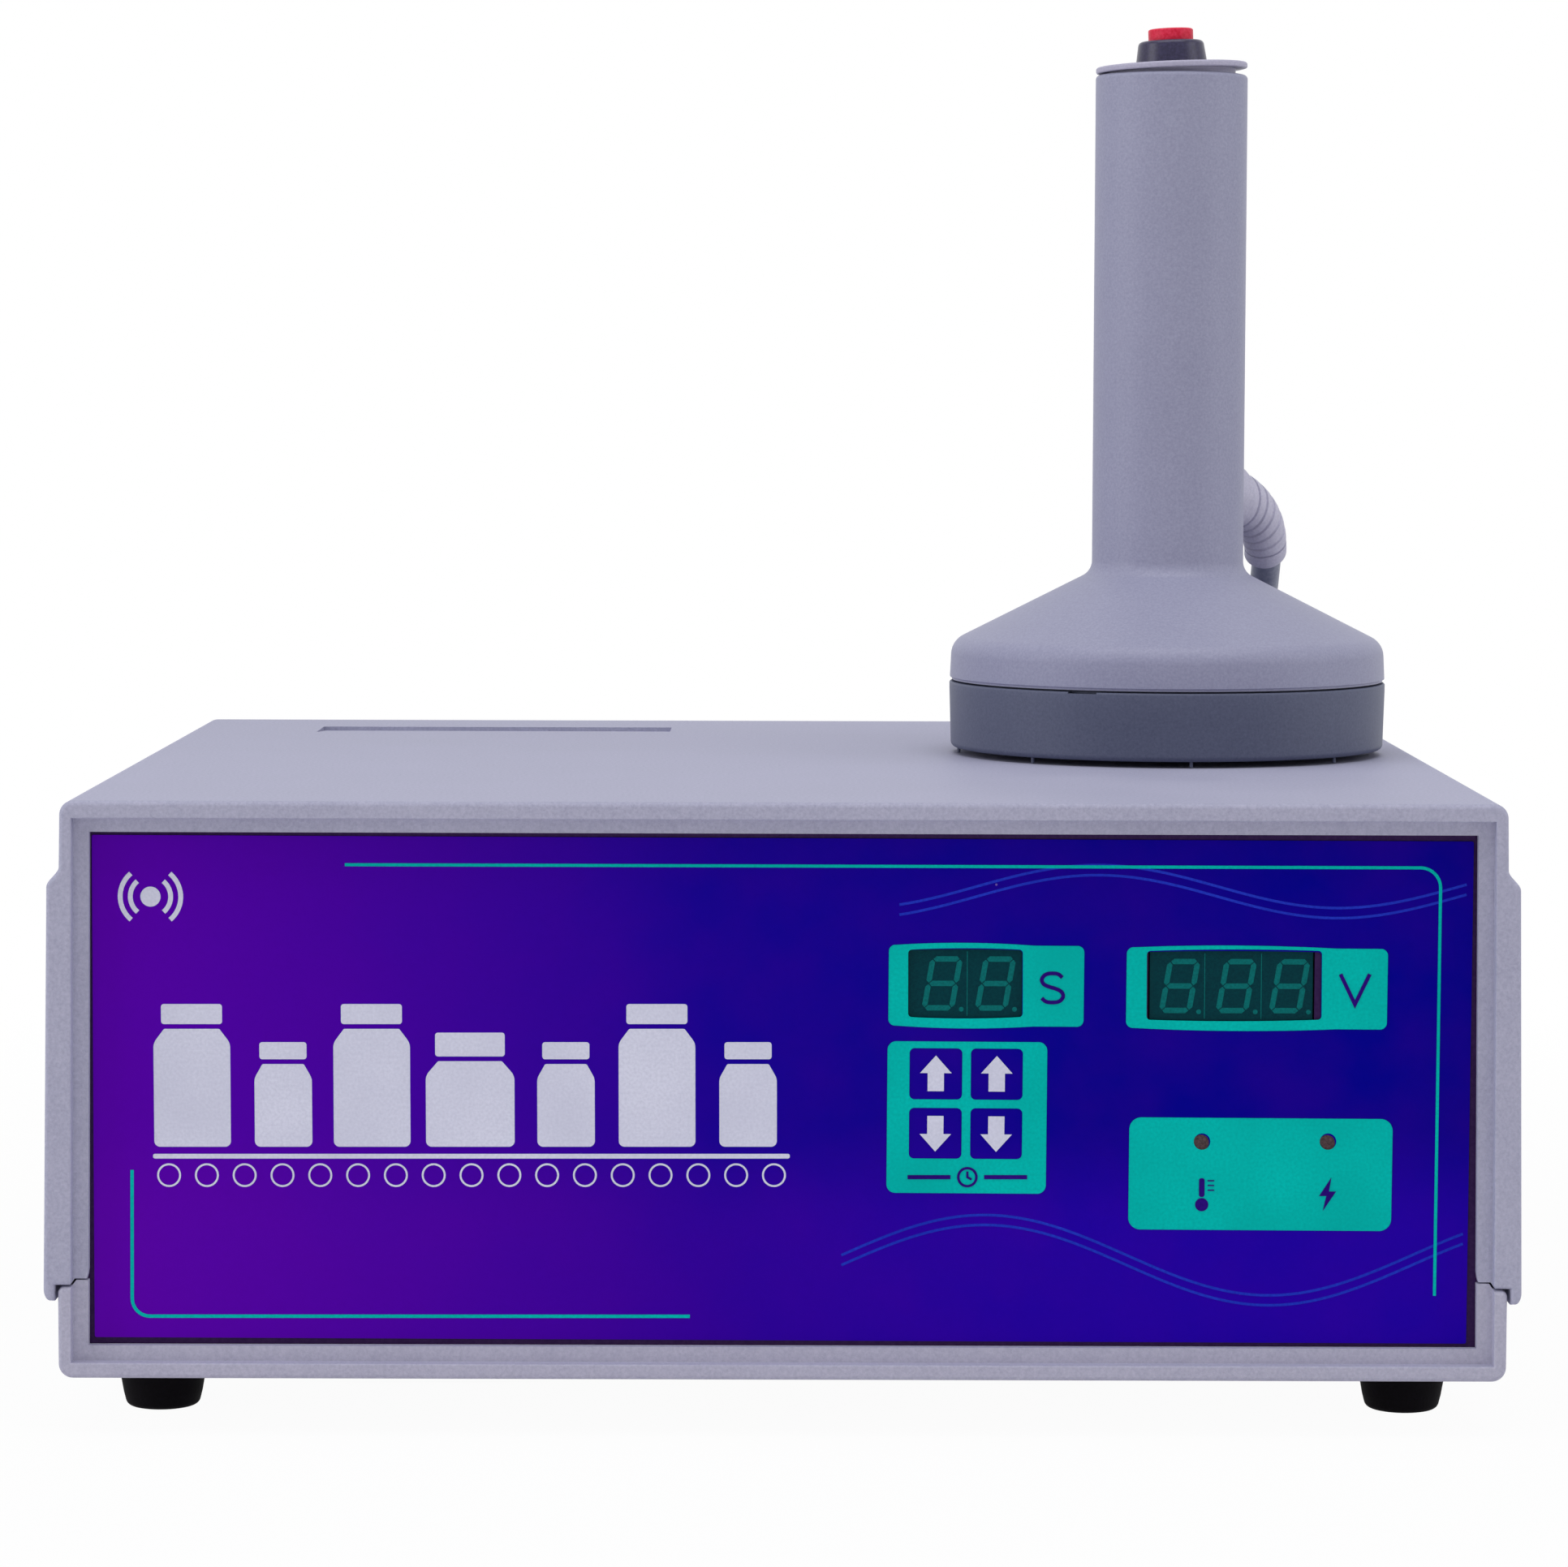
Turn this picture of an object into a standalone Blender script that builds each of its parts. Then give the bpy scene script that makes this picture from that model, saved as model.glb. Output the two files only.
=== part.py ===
"""Hand-held induction sealing machine: an instrument case with its sealing head standing on top.

X runs to the right, Y from the front panel to the back, Z up. The origin is on the surface that the
rubber feet stand on, in the middle of the machine. All sizes are in metres and angles in degrees.
"""

import math

import bmesh
import bpy
from mathutils import Matrix, Vector

# Clearances
GAP = 0.0003
FILM_GAP = 0.0001
BORE_GAP = 0.0003

# Case, measured from its middle, from its front rim and up from its underside
CASE_HALF_WIDTH = 0.1500
CASE_DEPTH = 0.2600
CASE_HEIGHT = 0.1210
CASE_WALL = 0.0025
CASE_CORNER = 0.0030
CASE_EDGE = 0.0010
WALL_DRAFT = 0.0002
BAND_TOP = 0.1072
BAND_SLOPE = 0.0042
BAND_STEP = 0.0026
BAND_DRAFT = 0.0013
LIP_THICKNESS = 0.0024
LIP_CLEARANCE = 0.0006
SEAM_HEIGHT = 0.0193
LIP_DROP = 0.0030
TONGUE_RISE = 0.0010
TONGUE_SLOPE = 0.0007

# Rims, ledges and panel grooves at the front and the back
RIM_SIDE = 0.0032
RIM_BOTTOM = 0.0033
RIM_TOP = 0.0037
RECESS_DEPTH = 0.0030
LEDGE_SIDE = 0.00355
LEDGE_BOTTOM = 0.0032
LEDGE_TOP = 0.0030
LEDGE_THICKNESS = 0.0020
GROOVE_BITE = 0.0022
FLANGE_THICKNESS = 0.0015
PANEL_THICKNESS = 0.0020

# Hand hold in the top, vents in the sides
HOLD_INSET = 0.0323
HOLD_WIDTH = 0.0893
HOLD_STEP_DEPTH = 0.2320
HOLD_RAMP = 0.0210
HOLD_SINK = 0.0010
VENT_WIDTH = 0.0030
VENT_PITCH = 0.0070
VENT_COUNT = 10
VENT_FIRST_DEPTH = 0.1320
VENT_BOTTOM = 0.0400
VENT_TOP = 0.0850

# Feet, case screws and the posts that they pull together
FOOT_HEIGHT = 0.0120
FOOT_SIDE_INSET = 0.0166
FOOT_INSET = 0.0330
FOOT_TOP_RADIUS = 0.00975
FOOT_TREAD_RADIUS = 0.0077
FOOT_ROUND = 0.0030
FOOT_PAD = 0.0012
FOOT_PAD_RADIUS = 0.0103
FOOT_RECESS_RADIUS = 0.0042
FOOT_RECESS_DEPTH = 0.0055
SCREW_RADIUS = 0.0014
SCREW_HEAD_RADIUS = 0.0033
SCREW_HEAD_HEIGHT = 0.0022
SCREW_REACH = 0.0120
SLOT_WIDTH = 0.0008
POST_RADIUS = 0.0045
SOCKET_RADIUS = 0.0065
SOCKET_HEIGHT = 0.0076

# Front film, and what shows through it: x from the controls' middle, z from the case's underside
FILM_THICKNESS = 0.0003
FILM_LEFT_INSET = 0.0059
FILM_RIGHT_INSET = 0.0068
FILM_BOTTOM = 0.00755
FILM_TOP = 0.1132
FILM_TURN = -0.12
CONTROLS_INSET = 0.0750
TIME_WINDOW = (-0.04914, -0.02525, 0.07578, 0.08993)
VOLT_WINDOW = (0.00056, 0.03703, 0.07521, 0.08967)
TIME_MODULE = (-0.0494, -0.0250, 0.0755, 0.0902)
VOLT_MODULE = (0.0013, 0.0354, 0.0750, 0.0899)
MODULE_DEPTH = 0.0076
MODULE_SET_BACK = 0.0003
KEY_X = -0.0432
KEY_Z = 0.0639
KEY_PITCH_X = 0.0128
KEY_PITCH_Z = 0.0124
LAMP_Z = 0.0496
LAMP_XS = {"overheat_lamp": 0.0123, "overcurrent_lamp": 0.0386}
LAMP_RADIUS = 0.0015
LAMP_FLANGE_RADIUS = 0.0019
LAMP_BODY = 0.0036
LAMP_HOLE = 0.0017
LEG_WIDTH = 0.0006
LEG_SPREAD = 0.00127

# Control board and key switches
BOARD_THICKNESS = 0.0016
CONTROL_BOARD = (-0.0570, 0.0570, 0.0280, 0.0980)
STANDOFF_RADIUS = 0.0030
STANDOFF_INSET = 0.0050
SWITCH_SIDE = 0.0060
SWITCH_HEIGHT = 0.0034
STEM_RADIUS = 0.00165
STEM_TRAVEL = 0.00025

# Rear panel fittings, by their middles
FAN_X = 0.0120
FAN_Z = 0.0600
FAN_SIDE = 0.0800
FAN_CORNER = 0.0050
FAN_DEPTH = 0.0250
FAN_BORE = 0.0380
FAN_HUB = 0.0165
FAN_HUB_DEPTH = 0.0150
FAN_PLATE = 0.0025
FAN_STRUT = 0.0040
FAN_SHAFT = 0.0020
FAN_RUN = 0.0008
BLADE_COUNT = 7
BLADE_CHORD = 0.0190
BLADE_THICKNESS = 0.0014
BLADE_PITCH = 38.0
GUARD_WIRE = 0.0008
GUARD_RINGS = (0.0130, 0.0245, 0.0360)
GUARD_REACH = 0.0400
INLET_INSET = 0.0420
INLET_Z = 0.0380
INLET_BODY = (0.0270, 0.0196)
INLET_FLANGE = (0.0310, 0.0246)
INLET_MOUTH = (0.0242, 0.0170)
INLET_CHAMFER = 0.0045
INLET_DEPTH = 0.0150
INLET_FLOOR = 0.0020
INLET_FLANGE_THICKNESS = 0.0030
PIN_WIDTH = 0.0020
PIN_HEIGHT = 0.0040
PIN_SPACING = 0.0140
PIN_OFFSET = 0.0020
PIN_LENGTH = 0.0130
PIN_TAB = 0.0070
ROCKER_Z = 0.0800
ROCKER_BEZEL = (0.0150, 0.0210)
ROCKER_BEZEL_THICKNESS = 0.0020
ROCKER_BODY = (0.0130, 0.0196)
ROCKER_WELL = (0.0108, 0.0186)
ROCKER_DEPTH = 0.0140
ROCKER_SINK = 0.0012
ROCKER_TILT = 10.0
ROCKER_FACE = 0.0030
TRUNNION_RADIUS = 0.0011
TRUNNION_REACH = 0.0005
FUSE_STEP = 0.0380
FUSE_Z = 0.0380
FUSE_BODY_RADIUS = 0.0060
FUSE_FLANGE_RADIUS = 0.0080
FUSE_FLANGE = 0.0020
FUSE_LENGTH = 0.0300
FUSE_BORE = 0.0040
FUSE_CAP_RADIUS = 0.0062
FUSE_CAP_HEIGHT = 0.0055
FUSE_STEM_LENGTH = 0.0100
GLAND_INSET = 0.0420
GLAND_Z = 0.0300
GLAND_REACH = 0.0140
GLAND_THREAD_RADIUS = 0.0076
GLAND_THREAD_LENGTH = 0.0100
GLAND_FLATS = 0.0190
GLAND_HEX = 0.0040
GLAND_MOUTH_RADIUS = 0.0052
GLAND_NUT_HEIGHT = 0.0040

# Power board and what stands on it
POWER_BOARD = (-0.0700, 0.0760, 0.0700, 0.2150)
BOARD_POST_HEIGHT = 0.0047
BOARD_POST_RADIUS = 0.0035
BOARD_POST_INSET = 0.0060
SINK_MIDDLE = (0.0120, 0.1800)
SINK_SIZE = (0.0600, 0.0560, 0.0620)
SINK_FINS = 7
SINK_FIN = 0.0016
SINK_BACK = 0.0050
TRANSFORMER_MIDDLE = (-0.0430, 0.1100)
TRANSFORMER_CORE = (0.0380, 0.0200, 0.0320)
TRANSFORMER_BOBBIN = (0.0240, 0.0300, 0.0240)
BULK_MIDDLE = (-0.0440, 0.1650)
BULK_RADIUS = 0.0125
BULK_HEIGHT = 0.0450
RESONANT_MIDDLE = (0.0420, 0.1050)
RESONANT_SIZE = (0.0420, 0.0200, 0.0370)
CAPACITOR_EDGE = 0.0015

# Sealing head, measured from its own axis and up from the top of the case
HEAD_INSET = 0.0596
HEAD_DEPTH = 0.1478
HEAD_WALL = 0.0023
TUBE_RADIUS = 0.0178
TUBE_DRAFT = 0.0001
TUBE_TOP = 0.1591
TUBE_EDGE = 0.0010
CONE_TOP = 0.0430
CONE_FILLET = 0.0040
SHOULDER_RADIUS = 0.0508
SHOULDER_Z = 0.0263
SHOULDER_FILLET = 0.0050
SKIRT_RADIUS = 0.0512
SKIRT_BOTTOM = 0.0175
BASE_RADIUS = 0.0513
BASE_TOP = 0.0168
BASE_BOTTOM = 0.0012
BASE_BOTTOM_RADIUS = 0.0509
BASE_EDGE = 0.0020
BASE_FLOOR = 0.0020
LIP_RISE = 0.0035
LIP_WALL = 0.0022
LIP_SLOPE_START = 0.0125
NIB_COUNT = 8
NIB_ANGLE = -82.0
NIB_RADIUS = 0.0009
NIB_CIRCLE = 0.0485
PRY_ANGLE = -112.5
PRY_WIDTH = 0.0070
PRY_HEIGHT = 0.0009
PRY_DEPTH = 0.0022
COIL_INNER = 0.0120
COIL_TURNS = 6
COIL_HEIGHT = 0.0038
COIL_RIDGE = 0.0008
FERRITE_HEIGHT = 0.0042
HEAD_COIL_GAP = 0.0020

# End cap and push-button switch of the handle, which lean a little
CAP_LEAN = -2.2
CAP_LIFT = 0.00100
CAP_RADIUS = 0.0177
CAP_THICKNESS = 0.0014
CAP_EDGE = 0.0004
SPIGOT_CLEARANCE = 0.0006
SPIGOT_LENGTH = 0.0060
SPIGOT_WALL = 0.0018
BEZEL_RADIUS = 0.00835
BEZEL_TOP_RADIUS = 0.00755
BEZEL_HEIGHT = 0.0056
BEZEL_EDGE = 0.0012
BARREL_RADIUS = 0.0059
BARREL_LENGTH = 0.0150
BUTTON_RADIUS = 0.00525
BUTTON_PROUD = 0.0028
BUTTON_TRAVEL = 0.0025
BUTTON_GRIP = 0.0050
BUTTON_EDGE = 0.0006
SWITCH_NUT_FLATS = 0.0140
SWITCH_NUT_HEIGHT = 0.0025

# Strain relief and cable of the head
BOOT_TURN = 45.0
BOOT_Z = 0.0611
BOOT_COLLAR_RADIUS = 0.00685
BOOT_COLLAR_LENGTH = 0.0040
BOOT_RIB_RADIUS = 0.0063
BOOT_END_RADIUS = 0.0051
BOOT_GROOVE = 0.0005
BOOT_RIBS = 6
BOOT_CUFF_LENGTH = 0.0045
BOOT_NECK_RADIUS = 0.0042
BOOT_NECK_REACH = 0.0030
BOOT_END = (0.0261, 0.0270, 0.0456)
BOOT_END_LEAN = 40.0
CABLE_RADIUS = 0.0035
CABLE_POINT_SPACING = 0.0150
CABLE_LEAD = 0.0040

# The cable's coil behind the case, and the routes to and from it. The drop's points are measured from
# the head's axis and the top of the case, the rise's from the gland's middle, the case's front and the floor
COIL_STEP = 0.0604
COIL_DEPTH = 0.3120
COIL_OUTER_TURN = 0.0440
COIL_INNER_TURN = 0.0278
TURN_SPACING = 0.0072
COIL_STANDOFF = 0.0257
DROP_ROUTE = (
    (0.0262, 0.0346, 0.0380),
    (0.0264, 0.0418, 0.0341),
    (0.0271, 0.0515, 0.0314),
    (0.0287, 0.0652, 0.0293),
    (0.0310, 0.0800, 0.0260),
    (0.0338, 0.0960, 0.0205),
    (0.0360, 0.1110, 0.0080),
    (0.0380, 0.1225, -0.0100),
    (0.0398, 0.1290, -0.0320),
    (0.0402, 0.1310, -0.0560),
    (0.0390, 0.1306, -0.0800),
    (0.0350, 0.1292, -0.1010),
    (0.0262, 0.1262, -0.1170),
    (0.0120, 0.1222, -0.1262),
    (-0.0060, 0.1206, -0.1292),
)
RISE_ROUTE = (
    (-0.0340, 0.3545, 0.0116),
    (-0.0200, 0.3480, 0.0142),
    (-0.0095, 0.3370, 0.0195),
    (-0.0032, 0.3220, 0.0278),
    (-0.0005, 0.3060, 0.0360),
    (0.0000, 0.2910, 0.0409),
)

# Where things are, worked out from the sizes above
CASE_FRONT = -(CASE_DEPTH + GLAND_REACH) / 2
CASE_TOP = FOOT_HEIGHT + CASE_HEIGHT
HEAD_Y = CASE_FRONT + HEAD_DEPTH
LIP_INNER = CASE_HALF_WIDTH + WALL_DRAFT + BAND_STEP + BAND_DRAFT - LIP_THICKNESS
LOWER_HALF_WIDTH = LIP_INNER - LIP_CLEARANCE
RIM_HALF_WIDTH = LOWER_HALF_WIDTH - RIM_SIDE
OPENING_HALF_WIDTH = RIM_HALF_WIDTH - LEDGE_SIDE
OPENING_BOTTOM = RIM_BOTTOM + LEDGE_BOTTOM
OPENING_TOP = CASE_HEIGHT - RIM_TOP - LEDGE_TOP
GROOVE_START = RECESS_DEPTH + LEDGE_THICKNESS
GROOVE_END = GROOVE_START + PANEL_THICKNESS + 2 * GAP
CAVITY_START = GROOVE_END + FLANGE_THICKNESS
CAVITY_HALF_WIDTH = CASE_HALF_WIDTH - CASE_WALL
PANEL_FACE = GROOVE_START + GAP
PANEL_BACK = PANEL_FACE + PANEL_THICKNESS
REAR_FACE = CASE_DEPTH - PANEL_FACE
REAR_INSIDE = REAR_FACE - PANEL_THICKNESS
MODULE_FACE = PANEL_FACE - FILM_GAP + MODULE_SET_BACK
CONTROL_BOARD_FACE = MODULE_FACE + MODULE_DEPTH + GAP
POWER_BOARD_BOTTOM = CASE_WALL + BOARD_POST_HEIGHT + GAP
POWER_BOARD_TOP = POWER_BOARD_BOTTOM + BOARD_THICKNESS
FOOT_X = CASE_HALF_WIDTH - FOOT_SIDE_INSET
HOLD_LEFT = HOLD_INSET - CASE_HALF_WIDTH
HOLD_RIGHT = HOLD_LEFT + HOLD_WIDTH
FILM_LEFT = FILM_LEFT_INSET - CASE_HALF_WIDTH
FILM_RIGHT = CASE_HALF_WIDTH - FILM_RIGHT_INSET
CONTROLS_X = CASE_HALF_WIDTH - CONTROLS_INSET
INLET_X = INLET_INSET - CASE_HALF_WIDTH
ROCKER_X = INLET_X
FUSE_X = INLET_X + FUSE_STEP
GLAND_X = CASE_HALF_WIDTH - GLAND_INSET
HEAD_X = CASE_HALF_WIDTH - HEAD_INSET
COIL_X = HEAD_X - COIL_STEP
FOOT_PLACES = [(x, d) for d in (FOOT_INSET, CASE_DEPTH - FOOT_INSET) for x in (-FOOT_X, FOOT_X)]
POST_BOTTOM = SOCKET_HEIGHT + GAP

# Roundness
FINE_ANGLE = 18.0
ROUGH_ANGLE = 30.0
COARSE_ANGLE = 45.0

model = bpy.data.collections.new("sealing_machine")
cutters = bpy.data.collections.new("cutters")


def at_case(x, depth, height):
    """A point given from the case's middle, its front rim and its underside."""
    return Vector((x, CASE_FRONT + depth, FOOT_HEIGHT + height))


def at_head(x, y, z):
    """A point given from the head's axis and the top of the case."""
    return Vector((HEAD_X + x, HEAD_Y + y, CASE_TOP + z))


def finish(name, colour, roughness, metallic=0.0):
    """A material with one colour, as (red, green, blue)."""
    material = bpy.data.materials.get(name)
    if material is None:
        material = bpy.data.materials.new(name)
        material.use_nodes = True
        shader = material.node_tree.nodes["Principled BSDF"]
        shader.inputs["Base Color"].default_value = (*colour, 1.0)
        shader.inputs["Roughness"].default_value = roughness
        shader.inputs["Metallic"].default_value = metallic
    return material


CASE_ABS = finish("case_abs", (0.38, 0.39, 0.50), 0.62)
HEAD_ABS = finish("head_abs", (0.33, 0.34, 0.46), 0.55)
DARK_ABS = finish("dark_abs", (0.09, 0.10, 0.15), 0.50)
BLACK_ABS = finish("black_abs", (0.015, 0.012, 0.02), 0.45)
BLACK_RUBBER = finish("black_rubber", (0.008, 0.007, 0.009), 0.70)
CABLE_PVC = finish("cable_pvc", (0.08, 0.08, 0.11), 0.50)
FILM = finish("printed_film", (0.06, 0.0, 0.28), 0.35)
DISPLAY = finish("display_resin", (0.005, 0.06, 0.05), 0.20)
LAMP_LENS = finish("lamp_lens", (0.06, 0.04, 0.04), 0.15)
RED_NYLON = finish("red_nylon", (0.62, 0.02, 0.04), 0.40)
CIRCUIT_BOARD = finish("circuit_board", (0.02, 0.16, 0.06), 0.50)
STEEL = finish("zinc_plated_steel", (0.60, 0.60, 0.60), 0.35, 1.0)
ALUMINIUM = finish("extruded_aluminium", (0.75, 0.75, 0.76), 0.40, 1.0)
PLATED_BRASS = finish("plated_brass", (0.72, 0.66, 0.50), 0.30, 1.0)
COPPER = finish("litz_copper", (0.55, 0.22, 0.10), 0.50, 1.0)
FERRITE = finish("ferrite", (0.04, 0.04, 0.045), 0.60)
CAPACITOR = finish("capacitor_sleeve", (0.02, 0.03, 0.10), 0.35)


def rounded(corners, closed=True, facet=ROUGH_ANGLE):
    """The points of an outline of (x, y, radius) corners, with an arc at each corner that has a radius."""
    points = []
    count = len(corners)
    for i, (x, y, radius) in enumerate(corners):
        here = Vector((x, y))
        if radius <= 0 or (not closed and i in (0, count - 1)):
            points.append((x, y))
            continue
        back = Vector(corners[i - 1][:2]) - here
        ahead = Vector(corners[(i + 1) % count][:2]) - here
        turn = math.pi - back.angle(ahead)
        reach = min(radius * math.tan(turn / 2), 0.49 * back.length, 0.49 * ahead.length)
        used = reach / math.tan(turn / 2)
        middle = (back.normalized() + ahead.normalized()).normalized()
        centre = here + middle * (used / math.cos(turn / 2))
        first = here + back.normalized() * reach - centre
        last = here + ahead.normalized() * reach - centre
        sweep = math.atan2(first.x * last.y - first.y * last.x, first.dot(last))
        steps = max(1, round(math.degrees(turn) / facet))
        for k in range(steps + 1):
            spoke = Matrix.Rotation(sweep * k / steps, 2) @ first
            points.append((centre.x + spoke.x, centre.y + spoke.y))
    return points


def mirrored(right_side):
    """A closed outline from its right half, which runs from the top down."""
    return right_side + [(-x, y) for x, y in reversed(right_side)]


def rectangle(left, right, bottom, top, radius=0.0):
    return rounded([(left, bottom, radius), (right, bottom, radius), (right, top, radius), (left, top, radius)])


def circle(x, y, radius, sides):
    angles = [2 * math.pi * i / sides for i in range(sides)]
    return [(x + radius * math.cos(a), y + radius * math.sin(a)) for a in angles]


def hexagon(x, y, flats):
    return circle(x, y, flats / math.sqrt(3), 6)


def place(obj, name, material, collection):
    """Names an object, gives it its finish and puts it with the parts or with the cutters."""
    obj.name = name
    obj.data.name = name
    collection.objects.link(obj)
    if material is not None:
        obj.data.materials.append(material)
    if collection is cutters:
        obj.hide_render = True
        obj.display_type = "WIRE"
    return obj


def solid_from_curve(drawn):
    """A welded mesh object in the place of a curve object, which is removed."""
    bpy.context.scene.collection.objects.link(drawn)
    bpy.context.view_layer.update()
    graph = bpy.context.evaluated_depsgraph_get()
    mesh = bpy.data.meshes.new_from_object(drawn.evaluated_get(graph))
    sheet = bmesh.new()
    sheet.from_mesh(mesh)
    bmesh.ops.remove_doubles(sheet, verts=sheet.verts, dist=1e-6)
    bmesh.ops.recalc_face_normals(sheet, faces=sheet.faces)
    sheet.to_mesh(mesh)
    sheet.free()
    mesh.materials.clear()
    solid = bpy.data.objects.new(drawn.name, mesh)
    solid.matrix_world = drawn.matrix_world
    bpy.data.objects.remove(drawn)
    return solid


# How an outline's own x, y and thickness lie in the machine
LYING = Matrix.Identity(4)
FACING_FRONT = Matrix(((1, 0, 0, 0), (0, 0, -1, 0), (0, 1, 0, 0), (0, 0, 0, 1)))
FACING_SIDE = Matrix(((0, 0, 1, 0), (1, 0, 0, 0), (0, 1, 0, 0), (0, 0, 0, 1)))


def prism(name, outlines, thickness, middle, way, material=None, collection=model):
    """A flat piece: outlines filled, given a thickness, turned to face its way and set at its middle."""
    curve = bpy.data.curves.new(name, "CURVE")
    curve.dimensions = "2D"
    curve.fill_mode = "BOTH"
    curve.extrude = thickness / 2
    for outline in outlines:
        spline = curve.splines.new("POLY")
        spline.points.add(len(outline) - 1)
        for point, (x, y) in zip(spline.points, outline):
            point.co = (x, y, 0, 1)
        spline.use_cyclic_u = True
    drawn = bpy.data.objects.new(name, curve)
    drawn.matrix_world = Matrix.Translation(middle) @ way
    return place(solid_from_curve(drawn), name, material, collection)


def across(name, outlines, front, back, material=None, collection=model):
    """A prism with its outlines in X and Z, from one depth in the case to another."""
    middle = at_case(0, (front + back) / 2, 0)
    return prism(name, outlines, back - front, middle, FACING_FRONT, material, collection)


def box(name, low, high, material=None, collection=cutters):
    """A box between two corners."""
    low = Vector(low)
    high = Vector(high)
    mesh = bpy.data.meshes.new(name)
    sheet = bmesh.new()
    bmesh.ops.create_cube(sheet, size=1.0)
    bmesh.ops.scale(sheet, vec=high - low, verts=sheet.verts)
    sheet.to_mesh(mesh)
    sheet.free()
    obj = bpy.data.objects.new(name, mesh)
    obj.location = (low + high) / 2
    return place(obj, name, material, collection)


def case_box(name, sides, depths, heights, material=None, collection=cutters):
    """A box given by its (low, high) x, depth and height in the case."""
    low = at_case(sides[0], depths[0], heights[0])
    high = at_case(sides[1], depths[1], heights[1])
    return box(name, low, high, material, collection)


def rod(name, start, end, radius, sides, collection=cutters, material=None):
    """A straight round bar between two points."""
    start = Vector(start)
    end = Vector(end)
    mesh = bpy.data.meshes.new(name)
    sheet = bmesh.new()
    length = (end - start).length
    bmesh.ops.create_cone(sheet, cap_ends=True, segments=sides, radius1=radius, radius2=radius, depth=length)
    sheet.to_mesh(mesh)
    sheet.free()
    mesh.shade_smooth()
    mesh.set_sharp_from_angle(angle=math.radians(40))
    obj = bpy.data.objects.new(name, mesh)
    obj.location = (start + end) / 2
    obj.rotation_mode = "QUATERNION"
    obj.rotation_quaternion = (end - start).to_track_quat("Z", "Y")
    return place(obj, name, material, collection)


def turned(name, profile, steps, origin, material=None, collection=model, way=LYING):
    """A turned piece: (radius, height) points, down the outer side, swept about the origin's axis."""
    mesh = bpy.data.meshes.new(name)
    sheet = bmesh.new()
    points = [sheet.verts.new((radius, 0, height)) for radius, height in profile]
    for a, b in zip(points, points[1:]):
        sheet.edges.new((a, b))
    if profile[0][0] > 0:
        sheet.edges.new((points[-1], points[0]))
    sheet.to_mesh(mesh)
    sheet.free()
    obj = bpy.data.objects.new(name, mesh)
    obj.matrix_world = Matrix.Translation(origin) @ way
    place(obj, name, material, collection)
    sweep = obj.modifiers.new("sweep", "SCREW")
    sweep.steps = steps
    sweep.render_steps = steps
    sweep.use_merge_vertices = True
    sweep.merge_threshold = 0.00001
    sweep.use_smooth_shade = True
    return obj


def combine(target, other, operation):
    """A Boolean of the target with a cutter object."""
    step = target.modifiers.new(other.name, "BOOLEAN")
    step.operation = operation
    step.solver = "EXACT"
    step.object = other
    return target


def cut(target, *others):
    for other in others:
        combine(target, other, "DIFFERENCE")


def join(target, *others):
    for other in others:
        combine(target, other, "UNION")


def soften(obj, width, segments=1, angle=50.0):
    """Rounds the sharp edges of a piece."""
    bevel = obj.modifiers.new("edges", "BEVEL")
    bevel.width = width
    bevel.segments = segments
    bevel.limit_method = "ANGLE"
    bevel.angle_limit = math.radians(angle)
    return obj


def band_curve():
    """The side wall of the upper shell where it swells out into its band, from the top down."""
    steps = 5
    top_x = CASE_HALF_WIDTH + WALL_DRAFT
    points = []
    for i in range(steps + 1):
        t = i / steps
        swell = t * t * (3 - 2 * t)
        points.append((top_x + BAND_STEP * swell, BAND_TOP - BAND_SLOPE * t))
    return points


def upper_outline():
    """The upper shell's outside, with its lip over the lower shell and the groove of the seam."""
    seam = SEAM_HEIGHT + GAP
    corner = rounded(
        [(0, CASE_HEIGHT, 0), (CASE_HALF_WIDTH, CASE_HEIGHT, CASE_CORNER), (CASE_HALF_WIDTH, BAND_TOP, 0)],
        closed=False,
    )
    outer = LIP_INNER + LIP_THICKNESS
    lip_bottom = SEAM_HEIGHT - LIP_DROP
    lip = rounded(
        [(outer, BAND_TOP - BAND_SLOPE, 0), (outer, lip_bottom, LIP_THICKNESS * 0.95), (LIP_INNER, lip_bottom, 0)],
        closed=False,
        facet=FINE_ANGLE,
    )
    inside = [
        (LIP_INNER, seam),
        (RIM_HALF_WIDTH + TONGUE_SLOPE, seam),
        (RIM_HALF_WIDTH, seam + TONGUE_RISE),
    ]
    return mirrored(corner[1:-1] + band_curve() + lip[1:] + inside)


def lower_outline():
    """The lower shell's outside, up to the seam."""
    half = LOWER_HALF_WIDTH
    right = rounded(
        [
            (RIM_HALF_WIDTH - GAP, SEAM_HEIGHT + TONGUE_RISE, 0),
            (RIM_HALF_WIDTH + TONGUE_SLOPE - GAP, SEAM_HEIGHT, 0),
            (half, SEAM_HEIGHT, CASE_EDGE / 2),
            (half, 0, CASE_CORNER),
            (0, 0, 0),
        ],
        closed=False,
    )
    return mirrored(right[:-1])


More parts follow.
